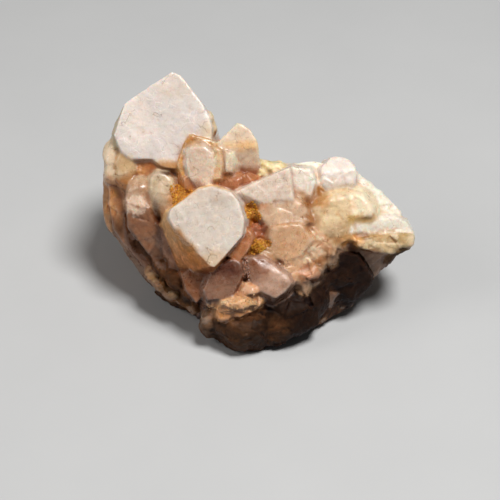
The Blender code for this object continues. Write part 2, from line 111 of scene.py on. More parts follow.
# Crystals and lumps with a flat face: name, then outline, out, leans, tilt, rear, cuts and tip for block()
CRYSTALS = (
    # The great crystal at the upper left, its broad face outward and its point at the top
    ("giant", [(-15.8, 36), (-14, 35.2), (-10, 30.2), (-8.4, 27.6), (-7.6, 24.6), (-8, 20.2), (-12.6, 18.4),
     (-23.4, 18.4), (-24.8, 18.9), (-26.2, 20.2), (-27.4, 23.2), (-26.4, 26.6), (-25.4, 29.4), (-24, 30.6)],
     7.6, [2, 2, 3, 4, 6, 20, 25, 20, 20, 8, 4, 2, 2, 2], (0.03, -0.04), 15, (), (-16.4, 38.6, 3.6)),
    ("giant_chin", [(-19.8, 18.6), (-18.4, 17.2), (-16.8, 16.6), (-15.2, 16.4), (-14, 16.9), (-12.8, 18.6),
     (-16, 20.4)],
     8, [20, 20, 20, 20, 20, 20, 30], (0.03, -0.04), 6),
    ("shoulder", [(-28, 24.8), (-25.8, 29.6), (-24.4, 29.6), (-24.4, 20.4), (-28.2, 20.8), (-28.4, 22.8)],
     4, [2, 2, 20, 20, 2, 2], (0, 0), 12),
    ("lobe_left", [(-29.8, 15.8), (-29.6, 18.2), (-28, 22.4), (-26, 22), (-25.2, 19.2), (-24.8, 15.8),
     (-26.4, 14.2), (-29.2, 14.2)],
     5.6, [2, 2, 15, 30, 30, 20, 10, 8], (0.25, 0), 13),
    ("lobe_right", [(-26.2, 20.2), (-24.2, 18.8), (-23.4, 16.6), (-24.6, 14.6), (-26.6, 15), (-27.4, 17.6)],
     7, [30, 30, 40, 45, 5, 5]),
    # The stepped crystal below the giant's right edge
    ("window_body", [(-12, 23.2), (-9, 22.4), (-5.6, 21.2), (-3.4, 19.6), (-2.8, 17.4), (-4, 14.8),
     (-10.2, 12), (-13, 13.2), (-14.6, 17), (-12.8, 22)],
     8.8, [5, 8, 12, 20, 25, 30, 30, 25, 20, 10]),
    ("window_face", [(-12, 20.4), (-9, 20.6), (-7.6, 19.4), (-7, 17.6), (-7.4, 14.4), (-8.6, 12.6),
     (-10.2, 12), (-12, 14.4), (-12.6, 16.4), (-12.6, 19.6)],
     10, [50, 35, 32, 32, 30, 25, 25, 30, 35, 40], (0, 0), 5),
    ("window_ridge", [(-7.2, 20.4), (-6, 20), (-5.6, 17.6), (-6, 14.4), (-7.2, 14)],
     9.8, 28, (0, 0), 5),
    ("window_step", [(-4.8, 19.6), (-3.6, 19.2), (-3.2, 17.4), (-3.8, 15.6), (-4.8, 15.6)],
     9.9, 25, (0, 0), 5),
    ("window_heel", [(-13.4, 14.4), (-12.4, 14.6), (-10.6, 12.4), (-11.4, 11.8), (-13, 12.4)],
     9.4, 25, (0, 0), 6),
    # The upright crystal right of it
    ("sentinel", [(-6.4, 21.8), (-2.6, 25.5), (-1.4, 25.2), (0.2, 24), (1.4, 22), (1.8, 20.2), (2, 15),
     (-5.6, 15)],
     9, [3, 2, 0, 0, 0, 0, 55, 15], (0, 0), 12, [((1.9, 20.6), (-5, 20.2), 62)], (-2, 26.4, 7)),
    # The crystal nearest the front, its rhombic face outward
    ("rhomb", [(-15.6, 8), (-10.2, 12), (-7.6, 12.6), (-3.6, 11.4), (-2.2, 9.4), (-1.2, 6), (-1.6, 2.6),
     (-6.8, -3.4), (-7.8, -3.2), (-15, 4.4), (-16, 6.4)],
     15.5, [5, 5, 5, 8, 10, 10, 3, 16, 28, 18, 12], (0, -0.05), 18, [((-14.4, 8.6), (-3.6, 10.8), 74)]),
    # Two blunt fingers at the left
    ("finger_right", [(-18.6, 15.8), (-17, 15.4), (-15.8, 14.2), (-15.2, 12), (-15, 9.6), (-16.4, 8.8),
     (-19.4, 10.2), (-20.2, 12.4), (-20, 14.6)],
     9, [15, 20, 20, 15, 15, 45, 25, 15, 15]),
    ("finger_left", [(-23.4, 14.4), (-20.8, 14.8), (-20, 12), (-19.8, 8.6), (-22, 7.6), (-24.6, 8.4),
     (-25.2, 10), (-24.4, 13.2)],
     7.8, [15, 15, 15, 30, 44, 10, 8, 8], (0, 0), 12, [((-25.2, 12), (-20, 12), 68)]),
    # Long sides of the crystals that make up the left flank
    ("flank_rim", [(-30.6, 16.2), (-29, 15.6), (-27.8, 12.4), (-27.8, 5), (-28.6, 3.6), (-30, 5.2),
     (-30.8, 9.2)],
     -1, [4, 20, 15, 15, 4, 2, 2], (0.8, 0)),
    ("flank_edge", [(-28.6, 5.6), (-26.4, 4.4), (-20.6, -4.6), (-21.4, -6.4), (-23.4, -4), (-25.2, -1.4),
     (-28.4, 3.8)],
     -0.6, [10, 20, 10, 4, 2, 2, 2], (0.6, 0.4)),
    ("flank_side", [(-28.8, 14.4), (-26.2, 14.8), (-25.4, 11.8), (-25, 5), (-25.6, 0.8), (-28.2, 4.6),
     (-29, 9)],
     2.5, [5, 20, 20, 20, 5, 5, 8], (0.3, 0.2)),
    ("flank_shin", [(-25.8, 7), (-18.4, -3.2), (-17.2, -6.2), (-20.4, -5.2), (-25.6, 0.8)],
     2.4, [20, 20, 0, 2, 2], (0.3, 0.3)),
    ("flank_front", [(-25, 9.2), (-20.4, 8.6), (-14.6, -6.4), (-18.2, -3.6), (-22.4, 1.2), (-24.8, 4.8)],
     6, [40, 20, 8, 5, 4, 4], (0.1, 0.4)),
    ("flank_inner", [(-18.2, 4.6), (-15.2, 3.6), (-11, -7.8), (-14.2, -6.8), (-17.8, 0)],
     6.9, [30, 15, 12, 12, 25], (0.3, 0.4)),
    ("flank_heel", [(-20.6, -5), (-17.4, -4.2), (-13.4, -7), (-10.4, -12.8), (-11, -13.6), (-16.6, -11.2),
     (-19, -8.8)],
     0.4, [10, 20, 20, 5, 5, 5, 5], (0.2, 0.7)),
    # Pink crystals below the rhomb
    ("pink_wedge", [(-13.8, -5), (-9, -2.4), (-8.4, -5), (-9.8, -9.6), (-10.8, -10.6), (-13, -8)],
     9.4, [25, 15, 15, 5, 4, 6], (0.1, 0.1)),
    ("pink_left", [(-7.6, -4), (-4, -2), (-1.8, -2.6), (-1.6, -5), (-3.6, -9.4), (-8.4, -10), (-9.2, -8)],
     12.4, 15, (0, 0.05)),
    ("pink_slip", [(-1.2, 4.8), (0.2, 3.6), (0.8, 2.4), (-0.8, -0.6), (-2.2, -2.4), (-4.4, -1.2),
     (-4.6, 0.4)],
     12.4, 12),
    ("pink_point", [(-0.8, -1.6), (2.4, -1.4), (5.4, -3.4), (7.6, -5), (8.2, -6.6), (6.8, -8.4),
     (5.2, -9.6), (2.4, -8.4), (0.6, -6), (-0.8, -4)],
     12.6, [10, 15, 15, 15, 15, 15, 25, 20, 20, 20], (0, 0), 12,
     [((1.2, -1.8), (2.6, -8.6), 68), ((1, -2.8), (7.8, -6), 72)]),
    ("pink_cap", [(1.4, 0), (2.8, 1), (4.8, 0.2), (5.6, -2), (2.4, -1.6)],
     11, 25),
    # The long crystal that lies across the middle, and those it leans on
    ("long_top", [(-2.6, 11.6), (2.4, 14.2), (8, 16.6), (8.6, 10.4), (1.8, 9.8)],
     11.2, [12, 4, 10, 55, 40], (0.02, -0.05)),
    ("long_low", [(2.4, 9.8), (8.4, 10.4), (10.6, 9), (12.4, 5.6), (9.4, 4.6), (4.4, 4.2), (1.6, 7)],
     10.9, [20, 20, 25, 30, 30, 25, 25], (0, 0.04)),
    ("flat_face", [(4.2, 4.6), (10, 5.2), (12.4, 2), (10, -1.2), (6.6, -2.4), (5, -0.4), (3.6, 2.4)],
     11.2, 25, (0.03, 0.12)),
    ("corner", [(8.2, 16.6), (12, 16.4), (13.2, 13.6), (12.4, 10.8), (9.2, 10.2), (8, 13)],
     9.2, [8, 15, 15, 40, 50, 15]),
    ("bright_back", [(8, 17.2), (10.2, 17.9), (12.8, 18.1), (15, 17.7), (15.2, 14.6), (8, 14.6)],
     4.6, [0, 0, 0, 10, 40, 10], (0, -0.3), 9),
    ("knob", [(14.4, 16.4), (15.8, 18.6), (17, 19), (18.6, 18.9), (20.2, 18.3), (21.2, 17.2), (21.6, 15.4),
     (21, 12.8), (19.4, 11.4), (17.8, 11.2), (15.8, 12.2), (14.4, 13.8)],
     7.4, [10, 2, 2, 2, 2, 4, 15, 30, 40, 40, 30, 20], (0, 0), 10, [((14, 15.4), (22, 16.6), 60)],
     (18, 20.4, 5)),
    # The mass at the right, lumpy and overhanging
    ("mass_cheek", [(13, 8.4), (16, 10.2), (19, 10.6), (20.2, 7.6), (20.8, 3.6), (18.2, 1.2), (15.2, 1.2),
     (12.4, 4.8)],
     9.5, [30, 35, 30, 20, 20, 25, 25, 35], (0, 0.1), 10),
    ("mass_brow", [(18.8, 10.4), (20.2, 11.2), (22.4, 11.2), (24.8, 8.8), (24.4, 7), (21.2, 6.2),
     (19.6, 7)],
     9.2, 30, (0.05, -0.1), 5),
    ("mass_shoulder", [(20.4, 15.8), (22, 15.8), (24, 14.4), (26.4, 12.3), (28.6, 10.2), (31, 7.6),
     (30.4, 5), (26, 5.4), (22, 8), (20, 12)],
     5.4, [4, 2, 2, 2, 2, 4, 20, 30, 30, 25], (-0.35, -0.35), 9),
    ("mass_shelf", [(20.2, 6), (30.2, 6.6), (32.2, 5.6), (33.4, 3.4), (33.2, 2.6), (28.6, 2.2), (23.8, 2),
     (20.2, 2)],
     6.8, [30, 10, 4, 2, 2, 10, 10, 10], (-0.3, 0.1), 8),
    ("mass_lip", [(21.2, 2), (29.4, 3.2), (33.2, 2.6), (32.6, 0.4), (29.6, -1), (25, -0.4), (21.8, 0.6)],
     8, [30, 20, 4, 2, 0, 5, 10], (-0.25, 0.1), 8),
    ("wing", [(17, 1.6), (22, 1), (30, -0.8), (29.4, -2.2), (27.6, -3.7), (25.4, -5.4), (20, -6)],
     3.4, [10, 10, 4, 0, 0, 0, 5], (-0.1, 0.9), 8),
    # Broken glassy quartz between the flat-faced crystal and the mass
    ("apron", [(8.6, 4.8), (13.2, 4.3), (16.3, 2), (17.8, 0.8), (15.7, -2.4), (13.2, -4.6), (10.4, -7),
     (8.6, -5.6), (6.4, -2.4)],
     9.7, [20, 20, 30, 42, 42, 42, 40, 20, 20], (-0.22, 0.04), 10),
)
# The shaded underside of the right half
UNDERSIDE = (
    ("belly_right", [(13, 0), (22, -1), (25, -5.6), (24.6, -7.6), (22.8, -9.8), (20.4, -12), (15.4, -13.8),
     (9, -14.4), (7.4, -8.2)],
     2, [10, 10, 2, 2, 2, 2, 2, 10, 10], (0.05, 0.8), 14),
    ("belly_step", [(12.9, -8.4), (15, -8.2), (17.6, -9), (16.4, -11.4), (13.9, -10.4)],
     3.4, 20, (0.1, 0.5), 8),
)
# Six-sided crystals: name, then tip, axis, half width, length and spin for prism()
PRISMS = (
    # Glassy ones that break up the edge of the shaded underside
    ("glassy_0", (9.6, -2.6, 12.2), (0.3, -0.05, 0.95), (2.6, 2.4, 2.6, 2.4), 12, 10),
    ("glassy_1", (13.4, -2, 11), (0.45, -0.05, 0.9), 2.4, 12, 35),
    ("glassy_2", (11.6, -6, 9.6), (0.35, -0.3, 0.88), 2.2, 12, 0),
    ("glassy_3", (15.6, 1.2, 10.4), (0.3, 0.1, 0.95), 2.6, 12, 50),
    ("glassy_4", (1.6, 3.6, 9.4), (0.1, 0.2, 0.97), 1.7, 8, 15),
    ("glassy_5", (3.2, 2.6, 9.8), (0.25, -0.1, 0.96), 1.6, 8, 40),
    ("glassy_6", (0.2, 5.6, 9.2), (-0.2, 0.3, 0.94), 1.2, 8, 0),
    # On the rear, turned away from the slope
    ("rear_0", (-27.2, 26, -9), (-0.2, 0.96, 0.1), 3.4, 26, 10),
    ("rear_1", (-20, 26.4, -15), (0.05, 0.97, -0.1), 4.6, 26, 25),
    ("rear_2", (-11, 25, -14.6), (0.15, 0.95, -0.2), 3.4, 24, 40),
    ("rear_3", (-3.6, 22.4, -9), (0.05, 0.95, 0.1), 5, 24, 5),
    ("rear_4", (3, 17.4, -12), (0.1, 0.93, -0.3), 3.6, 22, 35),
    ("rear_5", (9, 18.4, -5.6), (0.15, 0.95, 0.2), 4.4, 24, 20),
    ("rear_6", (14.6, 15.6, -10), (0.3, 0.9, -0.2), 3.6, 22, 0),
    ("rear_7", (22.6, 14, -4.6), (0.4, 0.85, 0.1), 4.2, 20, 50),
)
# Massive quartz: name, then centre, radii, turn and seed for rock()
ROCKS = (
    ("core", (-4, 6, -4), (20, 13, 13), 0, 3),
    ("core_left", (-17, 8, -4), (9, 14, 10), 12, 4),
    ("core_right", (14, 5, -1), (14, 9, 9), -6, 5),
    ("belly", (6, -12.6, 0.6), (10.8, 8, 9.2), 10, 10),
    ("foot", (-1.8, -15.2, 3.4), (7.2, 7.4, 7.6), 0, 11),
    ("toe", (-8.2, -14.8, 3.8), (2.9, 3.7, 4.4), 10, 12),
    ("ledge", (-2.6, -10.6, 9), (6, 2.6, 4.4), 8, 13),
    ("ledge_root", (-1.6, -13.2, 5.6), (6.4, 4.2, 4.8), 8, 23),
    ("crumb_lump", (0.2, -8, 10.6), (2.6, 2, 3), 0, 14),
    ("green_knob_0", (2.9, 17.4, 4.6), (1.5, 1.3, 3), 0, 15),
    ("green_knob_1", (5.2, 16.6, 4.8), (2.4, 2, 3), 0, 16),
    ("green_knob_2", (7.2, 15.8, 4.8), (1.6, 1.6, 3), 0, 17),
    ("lump_low", (11.2, -4.4, 7.4), (3.2, 2.4, 3.4), 0, 18),
    ("rear_root_0", (-15, 12.4, -19), (9, 6, 7), 0, 19),
    ("rear_root_1", (-1, 9.6, -17.4), (9, 6, 6), 0, 20),
    ("rear_root_2", (12, 8.6, -12.4), (8.4, 6, 6.4), 0, 21),
    ("rear_root_3", (-24, 6.4, -11), (4.4, 7, 6), 0, 22),
)
# Lumps of the same form that only the looks need
LUMPS = (
    # Scallops along the great crystal's lower and right edges, and the rusty body below it
    ("giant_lump_0", (-23.8, 19, 6.2), (1.5, 1.1, 1.7), 0, 31),
    ("giant_lump_1", (-21.4, 19.2, 6.1), (1.5, 0.9, 1.6), 0, 32),
    ("giant_lump_4", (-8.6, 26.4, 5.3), (1.4, 2.2, 2.4), 0, 35),
    ("giant_lump_5", (-7.6, 24.6, 5), (1.1, 1.5, 2), 0, 36),
    ("recess_0", (-20.8, 16.4, 5), (4, 2.8, 2), 0, 37),
    ("recess_1", (-25, 14.4, 5.1), (2.6, 2.6, 1.7), 0, 38),
    ("shoulder_fill", (-26.3, 23.6, 4.4), (1.7, 4.2, 2.6), -8, 39),
    ("lobe_fill", (-26.6, 20.6, 3.9), (2, 2.8, 2.2), 0, 40),
    # Rounded crystal ends at the left
    ("lobe_left_dome", (-27.9, 18.6, 3.8), (2.3, 4.2, 2.5), 6, 51),
    ("lobe_left_low", (-28.2, 15.4, 4), (1.9, 2.6, 2.2), 0, 52),
    ("lobe_right_dome", (-25.4, 16.6, 5.5), (2.5, 3.2, 1.7), 0, 53),
    ("finger_left_top", (-22.3, 11.8, 6.3), (2.6, 3.7, 2.3), 0, 54),
    ("finger_left_bulge", (-23, 9.2, 6.6), (2.7, 2.8, 2.2), 0, 55),
    ("finger_right_top", (-17.8, 12, 7.4), (2.7, 4.1, 2.1), -4, 56),
    ("finger_right_low", (-16.6, 8, 7.2), (1.8, 3.4, 2), 0, 57),
    # Domes in the mass at the right
    ("mass_cheek_dome", (16.9, 5.6, 6.5), (4.9, 4.6, 3.6), -10, 58),
    ("mass_brow_dome", (22.3, 8.6, 7.3), (3.4, 2.7, 2.4), -20, 59),
    # Lumps along the left foot of the flank, and between those of the underside
    ("heel_0", (-20, -5, 1.2), (2.3, 1.9, 2.4), -35, 61),
    ("heel_1", (-18.2, -7, 1.8), (1.9, 1.6, 2.6), -35, 62),
    ("heel_2", (-15.9, -8.7, 2.2), (2.2, 1.9, 2.8), -30, 63),
    ("heel_3", (-13.4, -10.4, 2), (1.8, 1.6, 2.8), -30, 64),
    ("heel_4", (-11.6, -11.8, 2.6), (1.8, 1.6, 2.8), -30, 65),
    ("flank_fill_0", (-18, -3.6, 3.4), (2.8, 2, 3), -48, 75),
    ("flank_fill_1", (-15.2, -5.8, 4.4), (2.8, 2, 3), -48, 76),
    ("flank_fill_2", (-12.4, -8.8, 4.6), (2.4, 1.9, 3), -48, 77),
    ("cleft", (13.2, 11.4, 5.6), (2.3, 2.2, 2.2), 0, 78),
    ("green_knob_3", (2.9, 15.8, 4.4), (2, 1.8, 2.8), 0, 79),
    ("belly_fill_0", (2.4, -13.4, 3), (5.2, 5.4, 6.2), 0, 66),
    ("belly_fill_1", (11, -10, 2.4), (5.4, 5, 5.6), 20, 67),
    ("belly_fill_2", (-5.2, -13.6, 4.6), (3.6, 4.6, 5), 0, 68),
    ("belly_fill_3", (18.4, -4.6, 3.2), (5, 3.8, 3), 30, 83),
    ("belly_fill_4", (14.6, -8.4, 0.9), (4.8, 3.8, 3.2), -20, 84),
    ("belly_fill_5", (20.6, -7.6, 0.3), (3.4, 3.4, 3.4), 0, 85),
    ("ledge_left", (-6.6, -10.2, 8.2), (2.6, 1.8, 3), 10, 86),
    ("ledge_right", (1.4, -10.2, 9), (2.3, 1.4, 2.6), 30, 87),
    ("ledge_low_0", (-4.2, -12.8, 9.3), (2.6, 1.7, 2.1), 10, 88),
    ("ledge_low_1", (-1.6, -12.2, 9.7), (2.8, 1.4, 2), 20, 89),
    ("rust_bed", (-3.6, 13.8, 6.8), (4.4, 2.2, 2.4), 0, 90),
    # The iron seams that carry the golden druse
    ("seam_0", (-13.8, 10.6, 6.6), (2.6, 2.8, 2.4), 20, 45),
    ("seam_1", (0.2, 7.4, 7.6), (2.2, 2, 2.2), -30, 46),
    ("seam_2", (1.9, 0.8, 8.4), (2.3, 1.6, 2.2), 20, 47),
)
# Thin shards on the apron: count, seed, the area that they lie in, least and most height over its face,
# least and most half widths, and turn with its spread
SHARDS, SHARD_SEED = 56, 43
SHARD_ACROSS, SHARD_UP, SHARD_LIFT = (8.4, 16.8), (-5, 4.4), (-0.3, 0.1)
SHARD_SIZES = ((0.8, 1.9), (0.35, 0.8), (0.35, 0.6))
SHARD_TURN = (-34, 18)
APRON_EDGE = (15.7, -0.4, 0.72)  # a point of the apron's lower edge (across, up), and the edge's slope
APRON_FACE = (12.2, 9.6, -0.22)  # a point of its face (across, out), and the face's slope
# Small crystals in gaps, reddish ones right of the rhomb and rusty ones below the upright crystal: name,
# middle and half widths of the patch, height, axis, half width, count and seed
GAP_CRYSTALS = (
    ("red", (2.1, 4), (1.7, 2.2), 11.3, (0.1, 0, 1), 1.4, 8, 41),
    ("rust", (-4, 13.8), (3.4, 1.4), 9.2, (0, 0.45, 0.85), 1.8, 9, 42),
)
GAP_CRYSTAL_LENGTH = 6
# The breaks that bound the root, behind and below: a point in mm and the direction that each looks in
BREAKS = (
    ((0, 28.5, 0), (0, 1, 0.05)),
    ((0, 24, 2), (0.05, 0.80, -0.60)),
    ((-22, 12, 2), (-0.60, 0.10, -0.80)),
    ((20, 8, 5), (0.55, 0.15, -0.82)),
    ((14, -13, 1), (0.45, -0.60, -0.66)),
)

# Colour of each shape, how clear it is (0 milky to 1 glassy), how rough its surface is (0 a grown face,
# 1 broken massive quartz) and how far its edges are worn round (0 to 1). The colours are as seen in even
# light, save the dark browns of the underside, the foot and the flank's heel, which are partly painted
# shade.
# A shape takes the look with the longest name that its own starts with
LOOKS = {
    "giant": ((219, 211, 206), 0.10, 0.04, 0.08),
    "giant_lump": ((224, 204, 172), 0.2, 0.2, 0.8),
    "shoulder": ((208, 193, 162), 0.2, 0.12, 0.9),
    "recess": ((186, 130, 82), 0.4, 0.2, 0.7),
    "lobe_left": ((214, 196, 172), 0.2, 0.08, 0.9),
    "lobe_fill": ((200, 180, 152), 0.1, 0.8, 0.4),
    "lobe_right": ((206, 178, 142), 0.2, 0.08, 0.9),
    "window_body": ((240, 190, 132), 0.7, 0.03, 0),
    "window_face": ((238, 218, 200), 0.6, 0.02, 0),
    "window_ridge": ((238, 206, 170), 0.7, 0.02, 0),
    "window_step": ((248, 226, 202), 0.6, 0.02, 0),
    "window_heel": ((210, 160, 122), 0.5, 0.1, 0.1),
    "sentinel": ((232, 213, 192), 0.4, 0.05, 0.1),
    "rhomb": ((220, 210, 200), 0.15, 0.04, 0.08),
    "finger_right": ((208, 188, 162), 0.35, 0.06, 0.8),
    "finger_left": ((198, 164, 136), 0.45, 0.06, 0.9),
    "finger_left_bulge": ((238, 214, 194), 0.45, 0.06, 0.9),
    "flank_rim": ((182, 138, 100), 0.3, 0.25, 0.5),
    "flank_edge": ((126, 96, 74), 0.3, 0.25, 0.5),
    "flank_side": ((168, 120, 86), 0.35, 0.2, 0.5),
    "flank_shin": ((126, 88, 66), 0.35, 0.25, 0.6),
    "cleft": ((186, 134, 78), 0.4, 0.2, 0.6),
    "flank_fill": ((118, 82, 58), 0.3, 0.3, 0.6),
    "flank_front": ((148, 106, 80), 0.4, 0.2, 0.5),
    "flank_inner": ((158, 116, 92), 0.4, 0.18, 0.3),
    # Dark brown low on the flank: partly stain, partly painted shade
    "flank_heel": ((74, 50, 32), 0.2, 0.4, 0.8),
    "heel": ((128, 92, 60), 0.3, 0.3, 0.6),
    "pink_wedge": ((150, 104, 78), 0.5, 0.12, 0.15),
    "pink_left": ((142, 105, 87), 0.5, 0.06, 0.08),
    "pink_slip": ((192, 136, 102), 0.5, 0.06, 0.08),
    "pink_point": ((190, 158, 140), 0.5, 0.10, 0.45),
    "pink_cap": ((196, 158, 126), 0.4, 0.15, 0.3),
    "long_top": ((230, 214, 200), 0.3, 0.08, 0.15),
    "long_low": ((222, 194, 168), 0.4, 0.12, 0.4),
    "flat_face": ((228, 190, 156), 0.5, 0.1, 0.35),
    "corner": ((246, 234, 222), 0.3, 0.15, 0.4),
    "bright_back": ((255, 248, 232), 0.1, 0.15, 0.4),
    "knob": ((238, 228, 220), 0.2, 0.12, 0.4),
    "mass_cheek": ((234, 212, 178), 0.3, 0.15, 0.8),
    "mass_brow": ((246, 228, 202), 0.3, 0.12, 0.7),
    "mass_shoulder": ((246, 236, 222), 0.2, 0.25, 0.5),
    "mass_shelf": ((240, 232, 220), 0.2, 0.25, 0.6),
    "mass_lip": ((206, 186, 152), 0.2, 0.3, 0.6),
    "apron": ((226, 186, 152), 0.5, 0.3, 0.5),
    "flake": ((244, 222, 194), 0.4, 0.12, 0.1),
    "wing": ((150, 118, 96), 0.3, 0.25, 0.7),
    "glassy": ((222, 180, 148), 0.6, 0.1, 0.3),
    "red": ((178, 118, 90), 0.5, 0.08, 0.1),
    "rust": ((190, 132, 98), 0.5, 0.08, 0),
    "seam": ((202, 120, 30), 0.1, 0.4, 0.5),
    "rear": ((222, 206, 188), 0.3, 0.15, 0.2),
    # Dark browns of the belly, its fill, the foot, the toe and the ledge's root: partly stain, partly
    # painted shade
    "belly": ((37, 23, 15), 0.2, 0.3, 1),
    "belly_fill_2": ((66, 47, 35), 0.2, 0.3, 0.9),
    "belly_step": ((112, 84, 66), 0.2, 0.1, 0.3),
    "core": ((180, 120, 72), 0.1, 0.6, 0.5),
    "foot": ((70, 48, 34), 0.2, 0.4, 0.9),
    "toe": ((92, 72, 58), 0.2, 0.35, 0.9),
    "ledge": ((216, 170, 128), 0.25, 0.35, 0.4),
    "ledge_root": ((84, 56, 38), 0.2, 0.45, 0.9),
    "ledge_low": ((204, 150, 106), 0.25, 0.35, 0.6),
    "crumb_lump": ((216, 168, 132), 0.35, 0.15, 0.3),
    "green_knob": ((236, 220, 178), 0.3, 0.25, 0.8),
    "lump_low": ((206, 152, 118), 0.4, 0.25, 0.6),
    "rear_root": ((220, 202, 178), 0.1, 0.5, 0.5),
}
